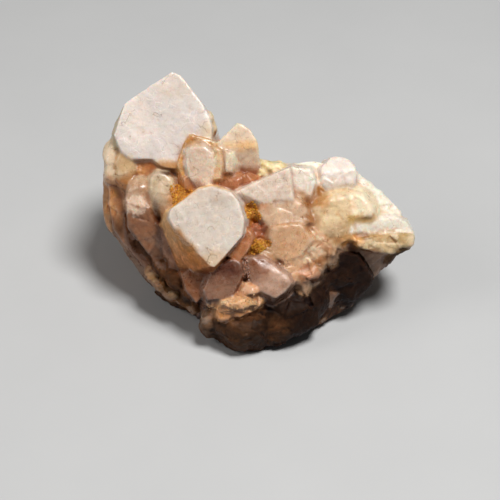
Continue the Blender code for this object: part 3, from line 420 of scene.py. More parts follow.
# Stains, painted shade and painted highlights: the shapes that take each, its middle (across, up), half
# widths, turn, colour and strength
STAINS_SHADE_AND_HIGHLIGHTS = (
    ("giant", (-16.5, 16.8), (6.4, 1.7), 0, (222, 200, 160), 0.6),
    ("giant", (-16, 17), (4.2, 1.2), 0, (184, 136, 88), 0.85),
    # Painted shade: a dark hole under the great crystal's chin
    ("", (-16.7, 15.4), (2.2, 0.6), -8, (60, 26, 16), 0.92),
    # Painted highlight low at the left of the great crystal, and painted shade, slightly darker and warmer,
    # at its top
    ("giant", (-23, 26), (4, 6), 0, (240, 230, 222), 0.6),
    ("giant", (-14.5, 33), (5, 4), 0, (222, 210, 198), 0.6),
    ("giant", (-8.6, 24), (1.6, 3), 0, (214, 190, 150), 0.5),
    ("lobe_left", (-28.4, 13.6), (4, 2.4), 0, (176, 124, 78), 0.8),
    ("lobe_right", (-24.4, 13.8), (3, 1.9), 20, (176, 122, 76), 0.8),
    ("recess_0", (-19, 16.6), (2.6, 1.6), 0, (150, 84, 44), 0.7),
    ("lobe", (-28, 12.6), (5, 1.4), 0, (184, 120, 62), 0.8),
    ("finger_right", (-17, 7.4), (2.6, 2.6), 0, (160, 112, 74), 0.8),
    # Painted shade in the gap between the fingers
    ("", (-18.6, 5.2), (0.95, 5.4), 8, (88, 54, 34), 0.9),
    ("finger_right", (-16.2, 4.6), (2, 2.6), 0, (132, 90, 62), 0.8),
    # Painted shade: dark lines in the crevices between the flank's crystals
    ("flank", (-21.2, -1), (0.6, 7.4), 33, (56, 38, 28), 0.85),
    ("flank", (-25.3, 6.6), (0.5, 4.6), 4, (84, 52, 36), 0.8),
    ("flank", (-24, 1.2), (0.5, 2.6), 33, (72, 46, 32), 0.7),
    # Painted highlight: a pale streak along the flank's side
    ("flank_side", (-27.6, 8.4), (0.5, 2.8), 38, (226, 184, 146), 0.6),
    ("flank_front", (-19.4, 1.4), (2.2, 1.2), -20, (150, 118, 98), 0.6),
    # Painted shade, partly stain: the heel and the flank's foot dark low down
    ("heel", (-17, -7), (3.4, 1.3), -38, (70, 46, 28), 0.8),
    ("", (-14.2, -9.6), (2.6, 1.2), -38, (40, 25, 16), 0.9),
    ("flank", (-15, -6.4), (4, 1.6), -45, (64, 42, 28), 0.7),
    ("finger", (-20.2, 14.4), (5, 1), 0, (224, 204, 176), 0.5),
    ("", (-28.5, 11.8), (1.6, 1.5), 0, (230, 170, 110), 0.7),
    ("flank", (-28.9, 9), (1.6, 2), 0, (226, 164, 106), 0.7),
    ("flank", (-27.6, 4.4), (1.1, 2.6), 20, (104, 70, 46), 0.8),
    ("window", (-11.4, 22.4), (3.4, 2), 0, (200, 146, 88), 0.8),
    # Painted highlights: pale lines along the window crystal's ridges
    ("window", (-8.2, 22), (4.2, 0.24), -15, (250, 232, 206), 0.8),
    ("window", (-6.9, 18), (0.2, 3.6), 4, (250, 232, 206), 0.7),
    ("window", (-5.2, 17.4), (0.2, 2.8), 8, (186, 132, 86), 0.7),
    ("window", (-11, 12.6), (3.4, 1.6), 0, (168, 110, 78), 0.8),
    ("window", (-4.2, 14.6), (3, 1.4), 0, (176, 118, 84), 0.8),
    ("sentinel", (-0.6, 21), (5, 1.3), 0, (234, 192, 140), 0.85),
    ("sentinel", (-0.6, 15.6), (5, 1.8), 0, (160, 98, 62), 0.9),
    ("rhomb", (-7, -2.2), (4, 2.4), 0, (208, 184, 156), 0.7),
    ("rhomb", (-8.6, 10.8), (7, 1.9), 0, (196, 181, 168), 0.8),
    ("rhomb", (-12.7, 0.8), (1.5, 7), 38, (168, 120, 66), 0.9),
    ("corner", (10.4, 10.6), (3.4, 1.8), 0, (196, 152, 104), 0.8),
    ("knob", (18.4, 11.6), (4, 1.8), 0, (196, 174, 144), 0.8),
    ("mass_cheek", (14, 9.6), (2.6, 2), 0, (196, 148, 96), 0.8),
    ("mass_cheek", (17, 2), (4.4, 1.8), 0, (170, 128, 88), 0.8),
    ("mass", (22.4, 6.2), (3.4, 1.2), 0, (190, 154, 88), 0.85),
    ("mass", (24.6, 2.8), (5, 0.8), 0, (176, 140, 90), 0.7),
    ("mass", (22.2, 2.6), (1.8, 1.2), 0, (140, 100, 66), 0.8),
    ("mass_cheek", (18, 4.2), (2.6, 1.6), 0, (190, 154, 116), 0.7),
    ("mass_lip", (30.8, 2.6), (1.8, 1.6), 0, (174, 146, 102), 0.8),
    # Painted shade: dark under the lip's right end and on the wing
    ("mass_lip", (30.4, -0.6), (2.6, 1.3), 20, (66, 48, 30), 0.95),
    ("wing", (29, -2), (2.6, 1.6), 20, (70, 52, 36), 0.9),
    ("apron", (14.4, -1.8), (5.6, 1.5), 46, (176, 120, 74), 0.8),
    # Painted shade, partly stain: the apron's lower part and the lump below it dark brown
    ("apron", (16.8, -5.6), (9, 4.4), 46, (38, 23, 14), 1),
    ("lump_low", (13, -7.8), (3, 1.6), 46, (52, 32, 20), 0.9),
    ("apron", (15, -12), (9, 5), 30, (38, 23, 14), 1),
    ("flake", (15.8, -0.4), (2.4, 1.6), 46, (176, 124, 76), 0.7),
    ("apron", (11.4, -6), (1.8, 1.2), 30, (150, 104, 74), 0.6),
    ("mass_cheek", (18.2, 1.6), (3, 1.6), 0, (186, 134, 88), 0.8),
    ("foot", (-4.6, -13.6), (2.4, 1.6), 0, (118, 84, 60), 0.7),
    ("", (-5.2, -12.6), (3.6, 1.5), 0, (220, 160, 108), 0.8),
    # Painted shade, partly stain: the foot dark brown towards the belly
    ("foot", (3.4, -15), (4, 7), 0, (42, 27, 18), 0.9),
    ("toe", (-9.8, -12.8), (1.6, 2), 0, (168, 140, 118), 0.8),
    ("pink_left", (-5.6, -8.2), (3.4, 2), 0, (168, 134, 114), 0.6),
    ("pink_point", (4.8, -5.6), (2.6, 2.4), 0, (212, 180, 160), 0.7),
    ("heel", (-19.8, -5.6), (1.6, 1.2), 0, (176, 140, 100), 0.7),
    ("heel", (-15.6, -9.2), (1.3, 1), 0, (160, 128, 90), 0.6),
    ("belly", (4.6, -16), (3.8, 3), 0, (88, 60, 42), 0.7),
    ("long_low", (2, 9), (2.4, 1.6), 0, (196, 140, 104), 0.7),
    ("pink_left", (-5.6, -3.4), (4.4, 2.2), 0, (94, 52, 38), 0.85),
    ("pink_point", (1.8, -3), (2.8, 3.2), 10, (152, 100, 74), 0.75),
    ("pink", (1.2, -2.2), (2.4, 1.4), 0, (136, 86, 60), 0.85),
    ("", (12.2, 5.8), (1.6, 3), 0, (164, 108, 60), 0.85),
    ("", (12, 9.2), (2, 1.5), 0, (150, 98, 50), 0.9),
    ("mass", (20.2, 1.6), (2.6, 1.6), 0, (240, 186, 124), 0.8),
    ("mass_lip", (24.6, -0.4), (3, 1), 0, (120, 78, 46), 0.85),
)
# Patches of grains: middle, half widths and turn
LIMONITE = (
    ((-13.8, 10.6), (2.2, 2.6), 20),
    ((0.2, 7.6), (1.9, 1.7), -30),
    ((1.9, 0.8), (2.1, 1.3), 20),
)
RED_POINTS = (
    ((-0.8, -4.4), (0.7, 2.4), 0),
)
CRUMBS = (
    ((-2.6, -10.6), (5.6, 1.4), 8),
)
# Grains: name, patches, count, size, darkest and palest colour, roughness, seed and highest place, in mm
GRAINS = (
    ("limonite", LIMONITE, 1100, 0.55, (186, 108, 14), (240, 178, 52), 0.55, 21, 11.5),
    ("red_points", RED_POINTS, 150, 0.62, (140, 90, 70), (200, 154, 130), 0.25, 22, 12),
    ("crumbs", CRUMBS, 90, 0.44, (198, 150, 104), (236, 206, 164), 0.35, 23, 30),
)
RUST = (150, 88, 48)
WALL_HIGH, WALL_LOW = (216, 174, 122), (178, 112, 54)
# The great crystal's rust, and the painted shade for what faces down the slope
GIANT_RUST, BELOW_SHADE = (196, 132, 76), (84, 52, 34)
BROKEN_REAR = (206, 188, 162)
IRON_OXIDE = (214, 138, 44)
# Pale edges: partly wear, partly painted highlight
EDGE_WEAR_AND_HIGHLIGHT = (252, 240, 226)
# Painted shade for what faces down
UNDER_SHADE = (124, 90, 68)
VEIL, MOTTLE, FACET_SHADE = 0.09, 0.05, 0.045


def cut(bm, point, normal):
    """Slices away what lies beyond the plane and closes the face."""
    geometry = bm.verts[:] + bm.edges[:] + bm.faces[:]
    made = bmesh.ops.bisect_plane(
        bm, geom=geometry, plane_co=point, plane_no=normal, clear_outer=True, dist=NEAR
    )
    edges = [e for e in made["geom_cut"] if isinstance(e, bmesh.types.BMEdge)]
    if edges:
        bmesh.ops.contextual_create(bm, geom=edges)


def block(outline, out, leans, tilt=(0, 0), rear=12.0, cuts=(), tip=None):
    """A crystal or a broken lump whose broad face looks out of the slope.

    outline goes round the face as (across, up) points, at height out, and the face rises by tilt per
    millimetre across and up. Each side leans open by its angle behind the face: 0 drops straight back into
    the slope, and 50 is upright. The three rear walls stand upright, rear behind the face's middle. cuts are
    further facets (point, point, lean). With a tip (across, up, out), the three tip faces that look to the
    rear start there.
    """
    centre = sum((Vector(p) for p in outline), Vector((0, 0))) / len(outline)

    def on_face(p):
        offset = Vector(p) - centre
        return Vector((p[0], p[1], out + offset.x * tilt[0] + offset.y * tilt[1]))

    normal = Vector((-tilt[0], -tilt[1], 1)).normalized()
    middle = on_face(centre)
    bm = bmesh.new()
    bmesh.ops.create_cube(bm, size=BLOCK, matrix=Matrix.Translation(middle))
    cut(bm, middle, normal)
    for turn in (-60, 0, 60):
        behind = Matrix.Rotation(math.radians(turn), 3, UPRIGHT) @ REAR
        cut(bm, middle + behind * rear, behind)
        if tip:
            cut(bm, Vector(tip), UPRIGHT * math.cos(APEX_LEAN) + behind * math.sin(APEX_LEAN))
    if not isinstance(leans, (list, tuple)):
        leans = [leans] * len(outline)
    ends = outline[1:] + outline[:1]
    for p, q, lean in [*zip(outline, ends, leans), *cuts]:
        start, along = on_face(p), (on_face(q) - on_face(p)).normalized()
        outward = along.cross(OUT).normalized()
        if outward.dot(start - middle) < 0:
            outward = -outward
        ahead = (OUT - along * along.dot(OUT)).normalized()
        angle = math.radians(lean)
        cut(bm, start, outward * math.cos(angle) + ahead * math.sin(angle))
    return bm


def prism(tip, axis, half, length, spin=0.0):
    """A six-sided quartz crystal with its point at tip, three large tip faces and three minor ones.

    half is its half width, or (front, right, back, left).
    """
    front, right, rear, left = half if isinstance(half, (list, tuple)) else [half] * 4
    axis, tip = Vector(axis).normalized(), Vector(tip)
    ahead = (OUT - axis * axis.dot(OUT)).normalized()
    ahead = Matrix.Rotation(math.radians(spin), 3, axis) @ ahead
    aside = axis.cross(ahead)
    minor_below = MINOR_BELOW * (front + right + rear + left) / 4
    bm = bmesh.new()
    bmesh.ops.create_cube(bm, size=BLOCK, matrix=Matrix.Translation(tip))
    cut(bm, tip - axis * length, -axis)
    for i, reach in enumerate((front, left, left, rear, right, right)):
        angle = math.radians(60 * i)
        direction = ahead * math.cos(angle) + aside * math.sin(angle)
        cut(bm, tip + direction * reach, direction)
        lean = axis * math.cos(APEX_LEAN) + direction * math.sin(APEX_LEAN)
        cut(bm, tip - axis * (minor_below if i % 2 else 0), lean)
    return bm


def rock(centre, radii, turn, seed, facets=18, depth=0.80, detail=2):
    """A lump of massive quartz: a ball stretched to radii and turned about the outward axis, with facets."""
    pick = random.Random(seed)
    bm = bmesh.new()
    place = (
        Matrix.Translation(centre)
        @ Matrix.Rotation(math.radians(turn), 4, "Z")
        @ Matrix.Diagonal((*radii, 1))
    )
    bmesh.ops.create_icosphere(bm, subdivisions=detail, radius=1)
    for _ in range(facets):
        direction = Vector([pick.gauss(0, 1) for _ in range(3)]).normalized()
        cut(bm, direction * (depth + pick.uniform(-FACET_SPREAD, FACET_SPREAD)), direction)
    bm.transform(place)
    return bm


def add(made, form, rows, **more):
    """The shape that each row of a table gives, under its name."""
    for name, *row in rows:
        made[name] = form(*row, **more)


def add_shards(made):
    """Thin shards along the apron's face, down to its lower edge."""
    pick = random.Random(SHARD_SEED)
    edge_u, edge_v, edge_slope = APRON_EDGE
    face_u, face_d, face_slope = APRON_FACE
    for i in range(SHARDS):
        u, v = pick.uniform(*SHARD_ACROSS), pick.uniform(*SHARD_UP)
        if v < edge_slope * (u - edge_u) + edge_v:
            continue
        centre = (u, v, face_d + face_slope * (u - face_u) + pick.uniform(*SHARD_LIFT))
        radii = [pick.uniform(*span) for span in SHARD_SIZES]
        turn = pick.gauss(*SHARD_TURN)
        made[f"flake_{i}"] = rock(centre, radii, turn, 70 + i, facets=12, depth=0.7, detail=1)


def add_gap_crystals(made):
    """Small crystals that point out of the gaps, each at its own lean."""
    for name, middle, reach, high, axis, half, count, seed in GAP_CRYSTALS:
        pick = random.Random(seed)
        for i in range(count):
            x, y = pick.uniform(-1, 1), pick.uniform(-1, 1)
            tip = (middle[0] + reach[0] * x, middle[1] + reach[1] * y, high + pick.uniform(-0.8, 0.6))
            lean = [a + pick.gauss(0, 0.35) for a in axis]
            width = half * pick.uniform(0.7, 1.15)
            made[f"{name}_{i}"] = prism(tip, lean, width, GAP_CRYSTAL_LENGTH, pick.uniform(0, 60))


def shapes():
    """Every crystal and lump by name, in the cluster's own lie."""
    made = {}
    add(made, block, CRYSTALS)
    add(made, prism, PRISMS)
    add(made, block, UNDERSIDE)
    add(made, rock, ROCKS)
    add(made, rock, LUMPS, facets=26, depth=0.88, detail=3)
    add_shards(made)
    add_gap_crystals(made)
    return made


def shells(made):
    """The shapes cut by the breaks and the floor, as points and faces in mm, and the shape of each face."""
    points, faces, owner = [], [], []
    for number, bm in enumerate(made.values()):
        bm.transform(PLACE)
        for point, direction in BREAKS:
            cut(bm, Vector(point), Vector(direction).normalized())
        cut(bm, Vector((0, 0, 0)), Vector((0, 0, -1)))
        bm.verts.index_update()
        first = len(points)
        points += [v.co.copy() for v in bm.verts]
        faces += [[first + v.index for v in f.verts] for f in bm.faces]
        owner += [number] * len(bm.faces)
        bm.free()
    return points, faces, np.array(owner)


def evaluated(mesh, kind, **settings):
    """The mesh after one modifier."""
    helper = bpy.data.objects.new("helper", mesh)
    bpy.context.scene.collection.objects.link(helper)
    modifier = helper.modifiers.new("made", kind)
    for key, value in settings.items():
        setattr(modifier, key, value)
    graph = bpy.context.evaluated_depsgraph_get()
    result = bpy.data.meshes.new_from_object(helper.evaluated_get(graph))
    bpy.data.objects.remove(helper)
    return result


def read(items, key, width, kind=np.float32):
    """One attribute of all the items, a row for each."""
    values = np.empty(len(items) * width, kind)
    items.foreach_get(key, values)
    return values.reshape(-1, width)


def places_of(mesh):
    return read(mesh.vertices, "co", 3).astype(float)


def normals_of(mesh):
    return read(mesh.vertex_normals, "vector", 3).astype(float)


def ends_of(mesh):
    return read(mesh.edges, "vertices", 2, np.int32)


def set_places(mesh, places):
    mesh.vertices.foreach_set("co", np.asarray(places, np.float32).ravel())
    mesh.update()


def inside_box(places):
    """Held inside the CAD box."""
    low, high = (np.array(v) / MM for v in cad_box)
    return np.clip(places, low + BOX_MARGIN, high - BOX_MARGIN)


def shell_labels(count, ends):
    """A number for each vertex, the same for all that edges join."""
    label = np.arange(count)
    while True:
        low = np.minimum(label[ends[:, 0]], label[ends[:, 1]])
        new = label.copy()
        np.minimum.at(new, ends[:, 0], low)
        np.minimum.at(new, ends[:, 1], low)
        new = new[new]
        if (new == label).all():
            return label
        label = new


def largest_shell(mesh):
    """Only the outer skin of the fused body: pockets closed in between the crystals go."""
    label = shell_labels(len(mesh.vertices), ends_of(mesh))
    values, sizes = np.unique(label, return_counts=True)
    keep = label == values[sizes.argmax()]
    bm = bmesh.new()
    bm.from_mesh(mesh)
    bmesh.ops.delete(bm, geom=[v for v, k in zip(bm.verts, keep) if not k], context="VERTS")
    bm.to_mesh(mesh)
    bm.free()
    return mesh


def smoothed(values, ends, rounds=1, share=0.5):
    """Each value moved towards the mean of its neighbours'."""
    values = np.asarray(values, float)
    flat = values.reshape(len(values), -1)
    here, there = ends.T
    size = len(flat)
    count = np.bincount(ends.ravel(), minlength=size)[:, None]
    for _ in range(rounds):
        total = np.empty_like(flat)
        for k in range(flat.shape[1]):
            total[:, k] = np.bincount(here, flat[there, k], size) + np.bincount(there, flat[here, k], size)
        flat = flat + share * (total / count - flat)
    return flat.reshape(values.shape)


def hollow(places, normals, ends, rounds):
    """How far each place lies below those round it, in mm: above 0 in a groove, below 0 on an edge."""
    return ((smoothed(places, ends, rounds) - places) * normals).sum(1)


def waves(places, size, seed, octaves=3):
    """Smooth noise of about -1 to 1 at each place, with lumps about size mm wide."""
    shift = Vector((seed * 7.31, seed * 3.17, seed * 5.77))
    return np.array([
        noise.fractal(Vector(p) + shift, 0.9, 2.1, octaves, noise_basis="PERLIN_ORIGINAL")
        for p in (places / size).tolist()
    ])


def facets(places, size, slope, seed):
    """Broken quartz: cells about size mm wide, each tilted its own way, as a height in mm."""
    pick = np.random.default_rng(seed)
    spans = [np.arange(a, b, size) for a, b in zip(places.min(0) - size, places.max(0) + size)]
    cells = np.stack(np.meshgrid(*spans, indexing="ij"), -1).reshape(-1, 3)
    cells = cells + pick.uniform(-0.48, 0.48, cells.shape) * size
    tree = KDTree(len(cells))
    for i, c in enumerate(cells.tolist()):
        tree.insert(c, i)
    tree.balance()
    near = [tree.find(p)[1] for p in places.tolist()]
    tilts = pick.normal(0, 0.6, cells.shape) * slope
    lift = pick.uniform(-0.25, 0.25, len(cells)) * slope * size
    return ((places - cells[near]) * tilts[near]).sum(1) + lift[near]


def step(low, high, x):
    """0 below low, 1 above high and smooth between."""
    t = np.clip((x - low) / (high - low), 0, 1)
    return t * t * (3 - 2 * t)


def nearest(tree, places):
    """Which face of the shapes each place lies on."""
    return np.array([tree.find_nearest(p)[2] for p in places.tolist()])


def openness(tree, places, normals, rays=14, reach=7.0, seed=4):
    """How much of the sky over each place is free of the cluster itself: 1 open, 0 a deep crevice."""
    pick = random.Random(seed)
    fan = []
    while len(fan) < rays:
        v = Vector((pick.uniform(-1, 1), pick.uniform(-1, 1), pick.uniform(-1, 1)))
        if 0.2 < v.length < 1:
            fan.append(v.normalized())
    free = np.empty(len(places))
    for i, (p, n) in enumerate(zip(places.tolist(), normals.tolist())):
        p, n = Vector(p), Vector(n)
        start = p + n * 0.12
        total = 0.0
        for v in fan:
            hit = tree.ray_cast(start, v + n * 1.02, reach)[3]
            total += 1.0 if hit is None else hit / reach
        free[i] = total / rays
    return free


def relief(mesh, tree, owner, names):
    """Grown faces get faint steps, broken quartz gets lumps, and sharp edges get small chips."""
    places, normals, ends = places_of(mesh), normals_of(mesh), ends_of(mesh)
    looks = np.array([look_of(n)[2:] for n in names])[owner[nearest(tree, places)]]
    rough, worn = smoothed(looks, ends, 8).T
    places = smoothed(places, ends, round(WEAR / VOXEL**2), 0.04 + 0.56 * worn[:, None])
    bend = smoothed(hollow(places, normals, ends, 5), ends, 2)
    middle, small = waves(places, 1.7, 12), waves(places, 0.7, 13)
    push = rough * (sum(facets(places, *cells) for cells in BROKEN_CELLS) - BROKEN_SINK)
    push += (1 - rough) * (sum(facets(places, *cells) for cells in GROWN_CELLS) + RIPPLE * small)
    push += SWELL * worn * waves(places, 3.4, 14)
    chips = step(0.02, 0.09, -bend) * step(0.05, 0.55, middle + 0.6 * small)
    push -= CHIP_DEPTH * chips
    return places + normals * smoothed(push, ends, 1)[:, None]


def look_of(name):
    """The look whose name is the longest that this shape's name starts with."""
    return LOOKS[max((key for key in LOOKS if name.startswith(key)), key=len)]


def linear(colour):
    """A screen colour, 0 to 255, in linear light."""
    c = np.asarray(colour, float) / 255
    return np.where(c <= 0.04045, c / 12.92, ((c + 0.055) / 1.055) ** 2.4)


def vivid(colour, more=0.18):
    """The colour in linear light, slightly more saturated."""
    colour = linear(colour)
    grey = colour @ np.array([0.3, 0.6, 0.1])
    return np.clip(colour + more * (colour - grey), 0.002, 0.95)


def blot(lie, middle, reach, turn, rag):
    """1 at the middle of a blot, fading out at a ragged edge."""
    a = math.radians(turn)
    u, v = lie[:, 0] - middle[0], lie[:, 1] - middle[1]
    x = (u * math.cos(a) + v * math.sin(a)) / reach[0]
    y = (v * math.cos(a) - u * math.sin(a)) / reach[1]
    return 1 - step(0.35, 1.25, np.hypot(x, y) + 0.45 * rag)


class Paint:
    """The colour at each point of the cluster, laid on in layers.

    lie is the place in the cluster's own lie, facing its normal there, and rag makes the blots uneven.
    """

    def __init__(self, mesh, tree, owner, names):
        self.places, self.normals, self.ends = places_of(mesh), normals_of(mesh), ends_of(mesh)
        turn = np.array(BACK.to_3x3()).T
        self.lie = self.places @ turn + np.array(BACK.translation)
        self.facing = self.normals @ turn
        self.facet = nearest(tree, self.places)
        self.shape, self.names = owner[self.facet], names
        self.rag = waves(self.places, 2.6, 1)
        self.free = smoothed(openness(tree_of(mesh), self.places, self.normals), self.ends, 2)
        colour, clear, rough, _ = zip(*[look_of(n) for n in names])
        self.clear = np.array(clear)[self.shape]
        self.rough = smoothed(np.array(rough)[self.shape], self.ends, 3)
        self.tint = np.array([vivid(c) for c in colour])[self.shape]

    def of(self, *starts):
        """1 on the shapes whose names start so."""
        return np.array([n.startswith(starts) for n in self.names])[self.shape]

    def lay(self, share, colour):
        share = share[:, None]
        self.tint = self.tint * (1 - share) + colour * share

    def lay_stains_shade_and_highlights(self):
        for start, middle, reach, turn, colour, strength in STAINS_SHADE_AND_HIGHLIGHTS:
            share = self.of(start) * strength * blot(self.lie, middle, reach, turn, self.rag)
            self.lay(share * step(-6, -2, self.lie[:, 2]), vivid(colour))

    def walls(self):
        """Rust on the rhomb's shaded walls and the great crystal's lower side, and painted shade, dark
        brown, on what faces down the slope.
        """
        u, v, d = self.lie.T
        wall = self.of("rhomb") * (1 - step(0.75, 0.92, self.facing[:, 2]))
        wall *= 1 - step(12.6, 15.6, d + self.rag) * step(-3, 4, v)
        self.wall = 0.92 * wall * (1 - step(-6, -2, u))
        low = (1 - step(-3, 9, v + 2.5 * self.rag))[:, None]
        self.lay(self.wall, linear(WALL_HIGH) * (1 - low) + linear(WALL_LOW) * low)
        skirt = self.of("giant") * step(0.3, 0.6, -self.facing[:, 1])
        skirt *= step(-6, -2, d) * (1 - step(5.4, 7.2, d + 0.5 * self.rag)) * step(-26, -23, u)
        self.lay(0.95 * skirt, linear(GIANT_RUST))
        # Painted shade: the lower shapes go dark brown where they face down the slope
        below = self.of("pink", "apron", "glassy", "ledge", "crumb")
        self.lay(0.75 * below * step(0.40, 0.75, -self.facing[:, 1]), linear(BELOW_SHADE))

    def broken_rear(self):
        self.tint[self.of("core", "rear_root") & (self.lie[:, 2] < 0)] = linear(BROKEN_REAR)

    def shades(self):
        """Milky veils, a slight mottle, and each facet slightly its own shade."""
        veil, small = waves(self.places, 6, 2, 4), waves(self.places, 0.9, 3)
        self.tint = self.tint * (1 + VEIL * veil[:, None] + MOTTLE * small[:, None])
        shades = np.random.default_rng(6).normal(0, FACET_SHADE, self.facet.max() + 1)
        self.tint = self.tint * (1 + shades[self.facet])[:, None]

    def crevices(self, bend):
        """Iron stain in the crevices and grooves, stronger the deeper, and painted shade.

        It is rust in the middle, paler round the great crystal, golden at the right and dark low down, where
        it is painted shade. In the grooves it darkens the tint, partly as stain and partly as painted shade.
        """
        u, v, d = self.lie.T
        rust = np.broadcast_to(linear(RUST), self.lie.shape)
        for share, stain in (
            (step(19, 22, v) * (1 - step(-8, -5, u)), (188, 152, 108)),
            ((1 - step(-26, -23, u)) * step(10, 14, v), (172, 128, 84)),
            (step(10, 14, u) * step(0, 3, v), (186, 142, 86)),
            # Dark low down: painted shade in the lower crevices
            ((1 - step(-2, 5, v + 0.15 * u)) * (1 - step(8, 11, d)), (62, 38, 25)),
            ((1 - step(-22, -18, u + 0.1 * v)) * (1 - step(4, 10, v)), (74, 48, 32)),
            (1 - step(-12.5, -10, v), (72, 50, 36)),
        ):
            rust = rust * (1 - share[:, None]) + linear(stain) * share[:, None]
        deep = 1 - step(0.10, 0.46, self.free + 0.08 * self.rag)
        self.lay(0.80 * deep * np.where(self.of("red", "rust", "seam", "flake"), 0.35, 1.0), rust)
        # Grooves darkened: partly stain, partly painted shade
        self.lay(0.50 * step(0.010, 0.09, bend), self.tint * rust * 1.5)

    def iron_oxide(self):
        """Golden ground under the druse."""
        d = self.lie[:, 2]
        for middle, reach, turn in LIMONITE:
            share = 0.9 * blot(self.lie, middle, np.array(reach) * 1.15, turn, self.rag)
            self.lay(share * (1 - step(10.5, 12, d)) * step(2, 4, d), linear(IRON_OXIDE))

    def edges(self, bend):
        """Bright edges on the grown crystals, hardly on the brown ones: partly wear, partly painted
        highlight.
        """
        brown = 1 - step(0.25, 0.55, self.tint.mean(1))
        share = 0.28 * step(0.015, 0.10, -bend) * (1 - 0.8 * brown) * step(0.2, 0.6, self.free)
        self.lay(share * (self.tint.sum(1) > 0.3), linear(EDGE_WEAR_AND_HIGHLIGHT))

    def underside(self):
        """Painted shade: darker where the surface faces down."""
        under = step(0.05, 0.55, -self.normals[:, 2] + 0.15 * self.rag)
        self.lay(0.75 * under, self.tint * linear(UNDER_SHADE))

    def all_layers(self):
        """The tint, the marks (how clear it is in red, how rough in alpha) and how far each point takes the
        dull material: dark with painted shade and stain, or on the rhomb's walls.
        """
        bend = hollow(self.places, self.normals, self.ends, 6)
        self.lay_stains_shade_and_highlights()
        self.walls()
        self.broken_rear()
        self.shades()
        self.crevices(bend)
        self.iron_oxide()
        self.edges(bend)
        self.underside()
        tint = np.clip(self.tint, 0.004, 0.93)
        # Points dark with painted shade and stain, and the rhomb's walls, take the dull material
        shade_and_stain = np.clip((0.11 - tint.mean(1)) / 0.05, 0, 1) * step(0.15, 0.25, self.rough)
        shade_and_stain = smoothed(np.maximum(shade_and_stain, 1.1 * self.wall), self.ends, 2)
        none = np.zeros(len(tint))
        return smoothed(tint, self.ends, 1), np.stack([self.clear, none, none, self.rough], 1), shade_and_stain


def tree_of(mesh):
    return BVHTree.FromPolygons([v.co for v in mesh.vertices], [tuple(f.vertices) for f in mesh.polygons])


def add_layer(mesh, name, rows):
    layer = mesh.color_attributes.new(name, "FLOAT_COLOR", "POINT")
    layer.data.foreach_set("color", rows.astype(np.float32).ravel())


def finished(mesh, name, material, tint, marks=None):
    """Brought to metres, painted and shown in the frame."""
    add_layer(mesh, "tint", np.hstack([tint, np.ones((len(tint), 1))]))
    if marks is not None:
        add_layer(mesh, "marks", marks)
    set_places(mesh, places_of(mesh) * MM)
    mesh.polygons.foreach_set("use_smooth", [True] * len(mesh.polygons))
    mesh.set_sharp_from_angle(angle=SHARP)
    mesh.materials.clear()
    mesh.materials.append(material)
    piece = bpy.data.objects.new(name, mesh)
    bpy.context.scene.collection.objects.link(piece)
    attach(piece, "root")
    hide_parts(NODE)


